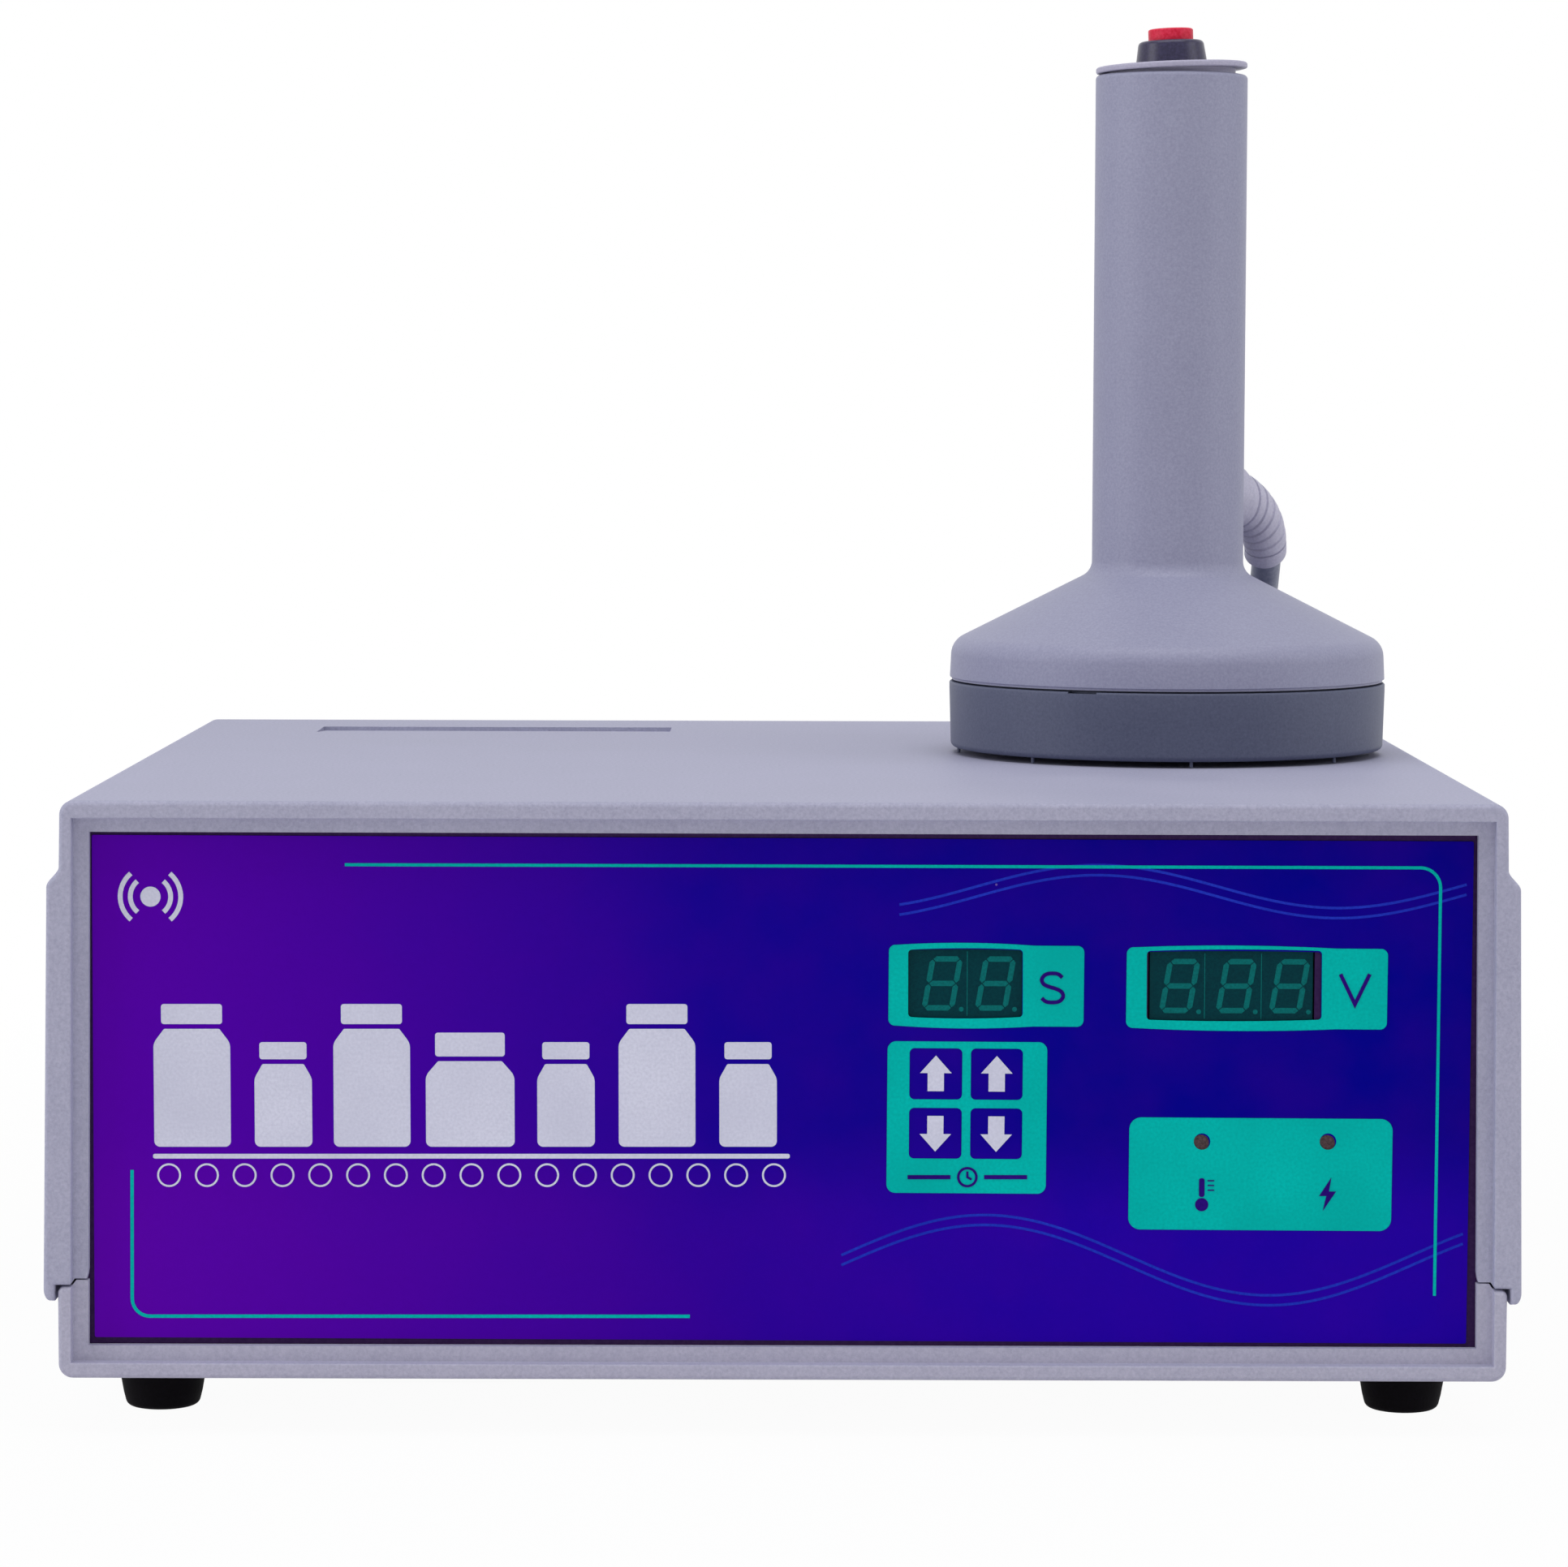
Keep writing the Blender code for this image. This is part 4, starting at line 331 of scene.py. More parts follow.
REAR_INSIDE = REAR_FACE - PANEL_THICKNESS
MODULE_FACE = PANEL_FACE - FILM_GAP + MODULE_SET_BACK
FILM_BACK = PANEL_FACE - FILM_GAP
FILM_FACE = FILM_BACK - FILM_THICKNESS
FOOT_PLACES = [(x, d) for d in (FOOT_INSET, CASE_DEPTH - FOOT_INSET) for x in (-FOOT_X, FOOT_X)]
POST_BOTTOM = SOCKET_HEIGHT + GAP
BOOT_OUTWARD = Vector((math.cos(math.radians(BOOT_TURN)), math.sin(math.radians(BOOT_TURN)), 0))
BOOT_DOWNWARD = Vector((0, math.sin(math.radians(BOOT_END_LEAN)), -math.cos(math.radians(BOOT_END_LEAN))))

# Facets small enough not to show
FINE = 9.0
# Size of the faint clouds in moulded plastic
CLOUD = 0.03
CUTTERS = []


def at_case(x, depth, height):
    """A point given from the case's middle, its front rim and its underside."""
    return Vector((x, CASE_FRONT + depth, FOOT_HEIGHT + height))


def at_head(x, y, z):
    """A point given from the head's axis and the top of the case."""
    return Vector((HEAD_X + x, HEAD_Y + y, CASE_TOP + z))


def set_camera():
    """A long lens in front of the machine, a little above its case and looking slightly down."""
    data = bpy.data.cameras.new("camera")
    data.sensor_width = 36.0
    data.lens = LENS
    data.clip_start = 0.05
    data.clip_end = 50.0
    camera = bpy.data.objects.new("camera", data)
    camera.location = (0.0, CASE_FRONT - CAMERA_REACH, CASE_TOP + CAMERA_RISE)
    tilt = Matrix.Rotation(math.radians(90 - CAMERA_TILT), 3, "X")
    roll = Matrix.Rotation(math.radians(CAMERA_ROLL), 3, "Z")
    camera.rotation_euler = (tilt @ roll).to_euler()
    bpy.context.scene.collection.objects.link(camera)
    bpy.context.scene.camera = camera


# Finishes


def linear(hex_code):
    """An sRGB hex colour as linear red, green, blue and alpha."""
    channels = []
    for start in (1, 3, 5):
        value = int(hex_code[start : start + 2], 16) / 255
        channels.append(value / 12.92 if value <= 0.04045 else ((value + 0.055) / 1.055) ** 2.4)
    return (*channels, 1.0)


def add(tree, kind, inputs, **settings):
    """Adds a shader node: its settings, and its inputs by name or number as values or as sockets to link from."""
    made = tree.nodes.new("ShaderNode" + kind)
    for name, value in settings.items():
        setattr(made, name, value)
    for key, value in inputs.items():
        if isinstance(value, bpy.types.NodeSocket):
            tree.links.new(value, made.inputs[key])
        else:
            made.inputs[key].default_value = value
    return made


def noise(tree, where, scale, detail, roughness=0.5):
    inputs = {"Vector": where, "Scale": scale, "Detail": detail, "Roughness": roughness}
    return add(tree, "TexNoise", inputs).outputs["Fac"]


def span(tree, value, low=0.0, high=1.0, to_low=0.0, to_high=1.0, kind="LINEAR"):
    """A value moved from one range to another, and held inside it."""
    inputs = {"Value": value, "From Min": low, "From Max": high, "To Min": to_low, "To Max": to_high}
    return add(tree, "MapRange", inputs, interpolation_type=kind).outputs["Result"]


def blend(tree, share, one, other):
    """A mix of two colours, each a hex code or a socket."""
    one, other = (linear(colour) if isinstance(colour, str) else colour for colour in (one, other))
    return add(tree, "Mix", {0: share, 6: one, 7: other}, data_type="RGBA").outputs[2]


def maths(tree, operation, *values, clamp=False):
    return add(tree, "Math", dict(enumerate(values)), operation=operation, use_clamp=clamp).outputs[0]


def blank(name, **constants):
    """A new material with the shader's plain values set: gives the material, its tree and the place on the piece."""
    material = bpy.data.materials.new(name)
    material.use_nodes = True
    tree = material.node_tree
    for key, value in constants.items():
        tree.nodes["Principled BSDF"].inputs[key.replace("_", " ")].default_value = value
    return material, tree, add(tree, "TexCoord", {}).outputs["Object"]


def finish(material, colour, gloss=None, height=None, strength=1.0, depth=0.0):
    """Links a material's colour, its roughness and its relief, whose depth is in metres."""
    tree = material.node_tree
    shader = tree.nodes["Principled BSDF"]
    tree.links.new(colour, shader.inputs["Base Color"])
    if gloss is not None:
        tree.links.new(gloss, shader.inputs["Roughness"])
    if height is not None:
        relief = add(tree, "Bump", {"Height": height, "Strength": strength, "Distance": depth})
        tree.links.new(relief.outputs["Normal"], shader.inputs["Normal"])
    return material


def moulded(name, dark, light, roughness, grain, depth, specular=0.25, octaves=2.0, rough=0.6):
    """Injection-moulded plastic: fine grain of a size in metres, in colour and in relief, and faint clouds."""
    material, tree, where = blank(name, IOR=1.5, Specular_IOR_Level=specular)
    fine = noise(tree, where, 1 / grain, octaves, rough)
    broad = noise(tree, where, 1 / CLOUD, 3.0)
    drift = maths(tree, "MULTIPLY_ADD", broad, 0.5, span(tree, fine, 0.3, 0.7, 0.15, 0.85))
    tint = blend(tree, maths(tree, "SUBTRACT", drift, 0.25, clamp=True), dark, light)
    gloss = span(tree, broad, to_low=roughness - 0.08, to_high=roughness + 0.08)
    return finish(material, tint, gloss, fine, 1.0, depth)


def printed_film():
    """Screen-printed polyester: violet at the left that turns deep blue at the right, a soft sheen and dust."""
    material, tree, where = blank("screen_printed_polyester", IOR=1.57, Specular_IOR_Level=0.012)
    parts = add(tree, "SeparateXYZ", {"Vector": where}).outputs
    along = span(tree, parts["X"], *FILM_SIDES)
    first = span(tree, along, high=0.45)
    then = span(tree, along, 0.38, 0.75)
    upper, lower = (
        blend(tree, then, blend(tree, first, left, middle), right)
        for left, middle, right in (("#5800AC", "#180097", "#03008E"), ("#5D02AE", "#33009D", "#2100A6"))
    )
    blue = blend(tree, span(tree, parts["Y"], 0.031, 0.055, kind="SMOOTHSTEP"), lower, upper)
    mottle = noise(tree, where, 45.0, 4.0)
    warmer = blend(tree, span(tree, mottle, 0.35, 0.75, to_high=0.09), blue, "#6A00A0")
    dust = add(tree, "TexVoronoi", {"Vector": where, "Scale": 60.0, "Randomness": 1.0}).outputs["Distance"]
    lint = blend(tree, span(tree, dust, 0.012, 0.02, 0.35, 0.0), warmer, "#B08CC8")
    waves = maths(tree, "MULTIPLY_ADD", mottle, 6.0, noise(tree, where, 1400.0, 2.0))
    return finish(material, lint, span(tree, mottle, to_low=0.34, to_high=0.5), waves, 0.6, 0.000012)


def ink(name, dark, light):
    """Screen ink: an even field with the fine mesh grain of the print."""
    material, tree, where = blank(name, IOR=1.5, Roughness=0.45, Specular_IOR_Level=0.02)
    both = maths(tree, "MULTIPLY", noise(tree, where, 1600.0, 2.0), noise(tree, where, 40.0, 2.0))
    return finish(material, blend(tree, span(tree, both, 0.12, 0.4), dark, light))


def metal(name, dark, light, roughness, grain, stretch):
    """Bare or plated metal: fine drawing lines along one way, in sheen and in relief."""
    material, tree, where = blank(name, Metallic=1.0)
    drawn = add(tree, "Mapping", {"Vector": where, "Scale": stretch}).outputs["Vector"]
    lines = noise(tree, drawn, 1 / grain, 4.0)
    gloss = span(tree, lines, to_low=roughness - 0.1, to_high=roughness + 0.15)
    return finish(material, blend(tree, lines, dark, light), gloss, lines, 0.5, 0.00002)


def circuit_board():
    """Glass-epoxy board: green solder mask over copper tracks that show as paler lines."""
    material, tree, where = blank("solder_masked_epoxy_board", IOR=1.52, Roughness=0.35)
    inputs = {"Vector": where, "Scale": 120.0, "Mortar Size": 0.03}
    for key, colour in (("Color1", "#1F6B3A"), ("Color2", "#1B6034"), ("Mortar", "#3C8A55")):
        inputs[key] = linear(colour)
    tracks = add(tree, "TexBrick", inputs).outputs
    return finish(material, tracks["Color"], None, tracks["Fac"], 0.4, 0.00004)


# Spark-eroded ABS: fine leather-like grain, pale lavender grey
CASE_ABS = moulded("eroded_lavender_abs", "#9899B2", "#B4B4CA", 0.58, 0.0007, 0.00006, octaves=3.0, rough=0.7)
# The same grain on the lower shell, painted paler for the light that falls on it from below
LOWER_ABS_PAINTED_LIT = moulded("eroded_lavender_abs_painted_lighter", "#A09FB6", "#BBBACD", 0.58, 0.0007, 0.00005, octaves=3.0, rough=0.7)
# Satin ABS of the head, a little bluer
HEAD_ABS = moulded("satin_lavender_abs", "#8B8CA6", "#A1A2BA", 0.48, 0.0006, 0.00002, octaves=3.0, rough=0.7)
# Cap of the handle: the same plastic, a little paler
CAP_ABS = moulded("pale_lavender_cap_abs", "#A19EB6", "#B8B5CB", 0.48, 0.0006, 0.00002, octaves=3.0, rough=0.7)
# Soft PVC of the strain relief: pale grey with a breath of violet
BOOT_PVC = moulded("soft_grey_pvc", "#B2B0C6", "#CECCDE", 0.55, 0.0006, 0.00003, octaves=3.0, rough=0.7)
# Dark blue-grey ABS of the coil base
BASE_ABS = moulded("satin_slate_abs", "#51566D", "#646980", 0.5, 0.0006, 0.00002, octaves=3.0, rough=0.7)
# Polished black plastic of bezels
GLOSS_BLACK = moulded("polished_black_nylon", "#242038", "#3C3858", 0.3, 0.0006, 0.000008, specular=0.3)
# Matt black plastic of frames and fittings
MATT_BLACK = moulded("matt_black_abs", "#16141A", "#242128", 0.5, 0.0006, 0.00003, specular=0.25)
# Charcoal ABS of the rear panel: a shade lighter than the black fittings in it
REAR_ABS = moulded("charcoal_abs", "#3A3A42", "#4A4A53", 0.55, 0.0012, 0.00005, octaves=3.0)
# The front panel plate that shows around the film: ABS of a dark violet
PANEL_ABS = moulded("dark_violet_abs", "#2A1242", "#38224F", 0.5, 0.0008, 0.00003, specular=0.06)
# Moulded rubber: black, dull, with a fine bloom
RUBBER = moulded("moulded_black_rubber", "#060508", "#0E0C10", 0.72, 0.0008, 0.00005, specular=0.05)
# PVC sheath of the cable
SHEATH = moulded("extruded_grey_pvc", "#767A8E", "#9094A6", 0.42, 0.0009, 0.00002)
# Red nylon cap of the push-button
RED = moulded("moulded_red_nylon", "#CC1030", "#EC4260", 0.38, 0.0006, 0.00002, specular=0.12)
# Epoxy of the display faces: bottle green
DISPLAY = moulded("green_display_epoxy", "#002E38", "#013D44", 0.3, 0.0005, 0.000005, specular=0.02)
SEGMENT = moulded("unlit_green_segment", "#065A5A", "#0A7676", 0.35, 0.0005, 0.000005, specular=0.02)
# Smoked epoxy of the lamps
SMOKED_EPOXY = moulded("smoked_lamp_epoxy", "#261A20", "#5C464A", 0.35, 0.0005, 0.00003, specular=0.12)
SLEEVE = moulded("capacitor_sleeve_pvc", "#141B3A", "#1E2850", 0.4, 0.001, 0.00001)
FERRITE = moulded("sintered_ferrite", "#2A2A2C", "#3A3A3E", 0.6, 0.0008, 0.00003)
FILM = printed_film()
TEAL_INK = ink("teal_screen_ink", "#00AEA7", "#00C0B8")
PALE_INK = ink("pale_lavender_screen_ink", "#C9CBE0", "#D9DBEE")
VIOLET_INK = ink("violet_screen_ink", "#25086E", "#300C80")
BLUE_INK = ink("soft_blue_screen_ink", "#1C2CB0", "#2438C4")
STEEL = metal("zinc_plated_steel", "#B4B6BA", "#D2D4D6", 0.35, 0.0005, (1.0, 1.0, 0.2))
ALUMINIUM = metal("extruded_aluminium", "#C6C8CC", "#DCDDE0", 0.4, 0.0006, (1.0, 0.05, 1.0))
PLATED_BRASS = metal("nickel_plated_brass", "#C8C2AC", "#DDD8C6", 0.25, 0.0004, (1.0, 0.1, 1.0))
COPPER = metal("enamelled_litz_copper", "#8A4A28", "#B4693C", 0.45, 0.0005, (1.0, 1.0, 1.0))
BOARD = circuit_board()


# Forms


def repaint(obj, material):
    obj.data.materials.clear()
    obj.data.materials.append(material)


def link(obj, material):
    bpy.context.scene.collection.objects.link(obj)
    repaint(obj, material)
    return obj


def even_normals(obj):
    """Keeps wide flat faces flat beside narrow rounded edges."""
    even = obj.modifiers.new("even_normals", "WEIGHTED_NORMAL")
    even.keep_sharp = True
    return obj


def mesh_piece(name, sheet, material, sharp=35.0):
    """An object from a bmesh, smooth except over edges sharper than an angle."""
    mesh = bpy.data.meshes.new(name)
    bmesh.ops.recalc_face_normals(sheet, faces=sheet.faces)
    sheet.to_mesh(mesh)
    sheet.free()
    mesh.shade_smooth()
    mesh.set_sharp_from_angle(angle=math.radians(sharp))
    return even_normals(link(bpy.data.objects.new(name, mesh), material))


def lofted(name, stacks, material, sharp=35.0):
    """A skin over each stack of rings of points, with both ends of the stack filled."""
    sheet = bmesh.new()
    for stack in stacks:
        rings = [[sheet.verts.new(point) for point in ring] for ring in stack]
        for one, other in zip(rings, rings[1:]):
            for k in range(len(one)):
                sheet.faces.new((one[k - 1], one[k], other[k], other[k - 1]))
        sheet.faces.new(rings[0])
        sheet.faces.new(rings[-1])
    return mesh_piece(name, sheet, material, sharp)


def settle(obj, sharp=35.0):
    """Gives an object the mesh that its modifiers make, and removes what it was cut with."""
    bpy.context.view_layer.update()
    graph = bpy.context.evaluated_depsgraph_get()
    mesh = bpy.data.meshes.new_from_object(obj.evaluated_get(graph))
    obj.modifiers.clear()
    obj.data = mesh
    carried = mesh.attributes.get("custom_normal")
    if carried:
        mesh.attributes.remove(carried)
    mesh.shade_smooth()
    mesh.set_sharp_from_angle(angle=math.radians(sharp))
    while CUTTERS:
        bpy.data.objects.remove(CUTTERS.pop())
    return even_normals(obj)


def wear(obj, body, slot, *nodes):
    """Makes a piece ride on a body and stand for solids. The slot is not used."""
    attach(obj, body)
    if nodes:
        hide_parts(*nodes)
    return obj


def rounded(corners, closed=True, facet=FINE):
    """The points of an outline of (x, y, radius) corners, with an arc at each corner that has a radius."""
    points = []
    count = len(corners)
    for i, (x, y, radius) in enumerate(corners):
        here = Vector((x, y))
        if radius <= 0 or (not closed and i in (0, count - 1)):
            points.append((x, y))
            continue
        back = Vector(corners[i - 1][:2]) - here
        ahead = Vector(corners[(i + 1) % count][:2]) - here
        turn = math.pi - back.angle(ahead)
        reach = min(radius * math.tan(turn / 2), 0.49 * back.length, 0.49 * ahead.length)
        used = reach / math.tan(turn / 2)
        middle = (back.normalized() + ahead.normalized()).normalized()
        centre = here + middle * (used / math.cos(turn / 2))
        first = here + back.normalized() * reach - centre
        last = here + ahead.normalized() * reach - centre
        sweep = math.atan2(first.x * last.y - first.y * last.x, first.dot(last))
        steps = max(1, round(math.degrees(turn) / facet))
        for k in range(steps + 1):
            spoke = Matrix.Rotation(sweep * k / steps, 2) @ first
            points.append((centre.x + spoke.x, centre.y + spoke.y))
    return points


def mirrored(right_side):
    return right_side + [(-x, y) for x, y in reversed(right_side)]


def rectangle(frame_of, radius=0.0, facet=FINE):
    left, right, bottom, top = frame_of
    corners = [(left, bottom, radius), (right, bottom, radius), (right, top, radius), (left, top, radius)]
    return rounded(corners, facet=facet)


def circle(x, y, radius, sides=48):
    angles = [2 * math.pi * i / sides for i in range(sides)]
    return [(x + radius * math.cos(a), y + radius * math.sin(a)) for a in angles]


def grown(frame_of, by):
    left, right, bottom, top = frame_of
    return (left - by, right + by, bottom - by, top + by)


FACING_FRONT = Matrix(((1, 0, 0, 0), (0, 0, -1, 0), (0, 1, 0, 0), (0, 0, 0, 1)))
FACING_SIDE = Matrix(((0, 0, 1, 0), (1, 0, 0, 0), (0, 1, 0, 0), (0, 0, 0, 1)))
TURNED_FRONT = Matrix.Rotation(math.radians(90), 4, "X")
TURNED_BACK = Matrix.Rotation(math.radians(-90), 4, "X")


def prism(name, outlines, thickness, middle, way, material):
    """Filled outlines with a thickness, turned to face their way and set at their middle."""
    curve = bpy.data.curves.new(name, "CURVE")
    curve.dimensions = "2D"
    curve.fill_mode = "BOTH"
    curve.extrude = thickness / 2
    for outline in outlines:
        spline = curve.splines.new("POLY")
        spline.points.add(len(outline) - 1)
        for point, (x, y) in zip(spline.points, outline):
            point.co = (x, y, 0, 1)
        spline.use_cyclic_u = True
    drawn = bpy.data.objects.new(name, curve)
    drawn.matrix_world = Matrix.Translation(middle) @ way
    bpy.context.scene.collection.objects.link(drawn)
    bpy.context.view_layer.update()
    graph = bpy.context.evaluated_depsgraph_get()
    sheet = bmesh.new()
    sheet.from_mesh(bpy.data.meshes.new_from_object(drawn.evaluated_get(graph)))
    bmesh.ops.remove_doubles(sheet, verts=sheet.verts, dist=1e-7)
    bmesh.ops.dissolve_limit(sheet, angle_limit=0.001, verts=sheet.verts, edges=sheet.edges)
    world = drawn.matrix_world.copy()
    bpy.data.objects.remove(drawn)
    solid = mesh_piece(name, sheet, material)
    solid.matrix_world = world
    return solid


def across(name, outlines, front, back, material):
    """A prism with its outlines in X and Z, from one depth in the case to another."""
    return prism(name, outlines, back - front, at_case(0, (front + back) / 2, 0), FACING_FRONT, material)


def soften(obj, width, segments=3, angle=40.0):
    """Rounds the sharp edges of a piece."""
    obj.modifiers.clear()
    bevel = obj.modifiers.new("edges", "BEVEL")
    bevel.width = width
    bevel.segments = segments
    bevel.limit_method = "ANGLE"
    bevel.angle_limit = math.radians(angle)
    return settle(obj)


def cutter(obj):
    CUTTERS.append(obj)
    return obj


def quarter(steps):
    """The steps of a quarter round: how far in and how far along each lies, as shares of its radius."""
    angles = [math.radians(90 * k / steps) for k in range(steps + 1)]
    return [(1 - math.sin(angle), 1 - math.cos(angle)) for angle in angles]


def case_blank(name, outline):
    """A shell before it is hollowed: an outline in X and Z along the case, its outer edges rounded at both ends."""
    following = outline[1:] + outline[:1]
    area = sum(a[0] * b[1] - b[0] * a[1] for a, b in zip(outline, following))
    way = -1 if area > 0 else 1
    inward = []
    for (x, z), before, after in zip(outline, outline[-1:] + outline, following):
        along = (Vector(after) - Vector(before)).normalized()
        outside = abs(x) > LOWER_HALF_WIDTH - CASE_CORNER or z > CASE_HEIGHT - CASE_CORNER or z < CASE_CORNER
        edge = CASE_EDGE + (TOP_EDGE - CASE_EDGE) * max(0.0, (z - CASE_HEIGHT + CASE_CORNER) / CASE_CORNER)
        inward.append(Vector((along.y, -along.x)) * edge / TOP_EDGE * way if outside else Vector((0, 0)))
    levels = [(TOP_EDGE * inset, TOP_EDGE * depth) for inset, depth in quarter(6)]
    levels += [(inset, CASE_DEPTH - depth) for inset, depth in reversed(levels)]
    rings = []
    for inset, depth in levels:
        ring = [Vector(corner) + turn * inset for corner, turn in zip(outline, inward)]
        rings.append([at_case(place.x, depth, place.y) for place in ring])
    return lofted(name, [rings], CASE_ABS)


def block(name, low, high):
    """A cutter between two corners."""
    sheet = bmesh.new()
    bmesh.ops.create_cube(sheet, size=1.0)
    bmesh.ops.scale(sheet, vec=Vector(high) - Vector(low), verts=sheet.verts)
    bmesh.ops.translate(sheet, vec=(Vector(low) + Vector(high)) / 2, verts=sheet.verts)
    return cutter(mesh_piece(name, sheet, MATT_BLACK))


def spread(frame_of, top_by, bottom_by):
    """The corners of a frame whose sides lean, each moved out by an amount at the top and at the bottom."""
    left, right, bottom, top = frame_of
    return [(left - bottom_by, bottom), (right + bottom_by, bottom), (right + top_by, top), (left - top_by, top)]


def eased_block(name, frame_of, mouth, floor, edge):
    """A cutter whose mouth opens out, which leaves a rounded edge where it enters. Depths run from mouth to floor."""
    way = 1 if floor > mouth else -1
    levels = [(edge, mouth - way * 5 * edge)]
    levels += [(edge * inset, mouth + way * edge * depth) for inset, depth in quarter(4)]
    levels.append((0.0, floor))
    rings = []
    for grow, depth in levels:
        corners = spread(grown(frame_of, grow), -RECESS_SPREAD, RECESS_SPREAD)
        rings.append([at_case(x, depth, z) for x, z in corners])
    return cutter(lofted(name, [rings], MATT_BLACK))


def case_block(name, sides, depths, heights):
    low = at_case(sides[0], depths[0], heights[0])
    return block(name, low, at_case(sides[1], depths[1], heights[1]))


def bar(start, end, radius, sides=32, material=MATT_BLACK, name="bar"):
    """A straight round bar between two points."""
    start = Vector(start)
    end = Vector(end)
    sheet = bmesh.new()
    length = (end - start).length
    bmesh.ops.create_cone(sheet, cap_ends=True, segments=sides, radius1=radius, radius2=radius, depth=length)
    turn = (end - start).to_track_quat("Z", "Y").to_matrix().to_4x4()
    bmesh.ops.transform(sheet, matrix=Matrix.Translation((start + end) / 2) @ turn, verts=sheet.verts)
    return mesh_piece(name, sheet, material)


def combine(target, others, operation):
    target.modifiers.clear()
    for other in others:
        step = target.modifiers.new(other.name, "BOOLEAN")
        step.operation = operation
        step.solver = "EXACT"
        step.object = other
        if other not in CUTTERS:
            cutter(other)
    return settle(target)


def turned(name, profile, steps, place, material, sharp=35.0):
    """A turned piece at a point or a placing: (radius, height) points swept about an axis, closed at the axis."""
    sheet = bmesh.new()
    rings = []
    for radius, height in profile:
        if radius <= 0:
            rings.append([sheet.verts.new((0, 0, height))])
            continue
        angles = [2 * math.pi * i / steps for i in range(steps)]
        rings.append([sheet.verts.new((radius * math.cos(a), radius * math.sin(a), height)) for a in angles])
    pairs = list(zip(rings, rings[1:]))
    if len(rings[0]) > 1:
        pairs.append((rings[-1], rings[0]))
    for one, other in pairs:
        for i in range(steps):
            k = (i + 1) % steps
            corners = [one[i % len(one)], one[k % len(one)], other[k % len(other)], other[i % len(other)]]
            unique = list(dict.fromkeys(corners))
            if len(unique) > 2:
                sheet.faces.new(unique)
    obj = mesh_piece(name, sheet, material, sharp)
    obj.matrix_world = place if isinstance(place, Matrix) else Matrix.Translation(place)
    return obj


def fitted(name, corners, steps, place, material, slot, node, body="machine", closed=False):
    """A turned piece with rounded corners that rides on a body and stands for a solid."""
    wear(turned(name, rounded(corners, closed), steps, place, material), body, slot, node)


def distances(points):
    """How far along a line each of its points lies."""
    lengths = [0.0]
    for a, b in zip(points, points[1:]):
        lengths.append(lengths[-1] + (b - a).length)
    return lengths


def smooth_line(knots, spacing):
    """Points a spacing apart on a smooth curve through the knots, ends included."""
    knots = [Vector(k) for k in knots]
    ends = [2 * knots[0] - knots[1], *knots, 2 * knots[-1] - knots[-2]]
    fine = []
    for a, b, c, d in zip(ends, ends[1:], ends[2:], ends[3:]):
        for k in range(24):
            t = k / 24
            bend = (2 * b) + (c - a) * t + (2 * a - 5 * b + 4 * c - d) * t * t
            fine.append((bend + (3 * b - a - 3 * c + d) * t * t * t) / 2)
    fine.append(knots[-1])
    lengths = distances(fine)
    count = max(2, round(lengths[-1] / spacing))
    points = []
    step = 0
    for i in range(count + 1):
        along = lengths[-1] * i / count
        while step < len(fine) - 2 and lengths[step + 1] < along:
            step += 1
        share = (along - lengths[step]) / (lengths[step + 1] - lengths[step])
        points.append(fine[step].lerp(fine[step + 1], min(1.0, share)))
    return points


def head_cable():
    """The head's cable: down behind the case, a coil of four and a half turns, and up to the gland."""
    floor = CABLE_RADIUS + GAP
    middle = Vector((COIL_X, CASE_FRONT + COIL_DEPTH, 0))
    start = at_head(*BOOT_END) + BOOT_DOWNWARD * GAP
    aside = Vector((CABLE_LEAD, 0, 0))
    entry = middle + Vector((COIL_STANDOFF, -COIL_OUTER_TURN, floor))
    drop = [start + BOOT_DOWNWARD * CABLE_LEAD] + [at_head(*point) for point in DROP_ROUTE] + [entry + aside]
    points = [start] + smooth_line(drop, 0.006) + [entry]
    for i in range(1, 4):
        points.append(entry - Vector((COIL_STANDOFF * i / 4, 0, 0)))
    steps = 36
    total = int(COIL_TURNS * steps)
    for i in range(total + 1):
        turns = i / steps
        half = COIL_TURNS / 2
        radius = COIL_INNER_TURN + (COIL_OUTER_TURN - COIL_INNER_TURN) * abs(turns - half) / half
        rise = min(1.0, max(0.0, (turns - half) / 0.3 + 0.5))
        angle = -math.pi / 2 - 2 * math.pi * turns
        height = floor + TURN_SPACING * rise * rise * (3 - 2 * rise)
        points.append(middle + Vector((radius * math.cos(angle), radius * math.sin(angle), height)))
    leave = middle + Vector((COIL_STANDOFF, COIL_OUTER_TURN, floor + TURN_SPACING))
    for i in range(3, 0, -1):
        points.append(leave - Vector((COIL_STANDOFF * i / 4, 0, 0)))
    mouth = at_case(GLAND_X, CASE_DEPTH + GLAND_REACH + GAP, GLAND_Z)
    route = [Vector((x, CASE_FRONT + depth, z)) for x, depth, z in RISE_ROUTE]
    behind = Vector((0, CABLE_LEAD, 0))
    points += [leave] + smooth_line([leave + aside] + route + [mouth + behind], 0.006) + [mouth]

    curve = bpy.data.curves.new("head_cable", "CURVE")
    curve.dimensions = "3D"
    curve.bevel_depth = CABLE_RADIUS
    curve.bevel_resolution = 6
    curve.use_fill_caps = True
    spline = curve.splines.new("POLY")
    spline.points.add(len(points) - 1)
    for point, place in zip(spline.points, points):
        point.co = (*place, 1)
    spline.use_smooth = True
    cable = link(bpy.data.objects.new("head_cable", curve), SHEATH)
    wear(cable, "machine", "cable_sheath", "cable_drop", "cable_coil", "cable_rise")


# Case


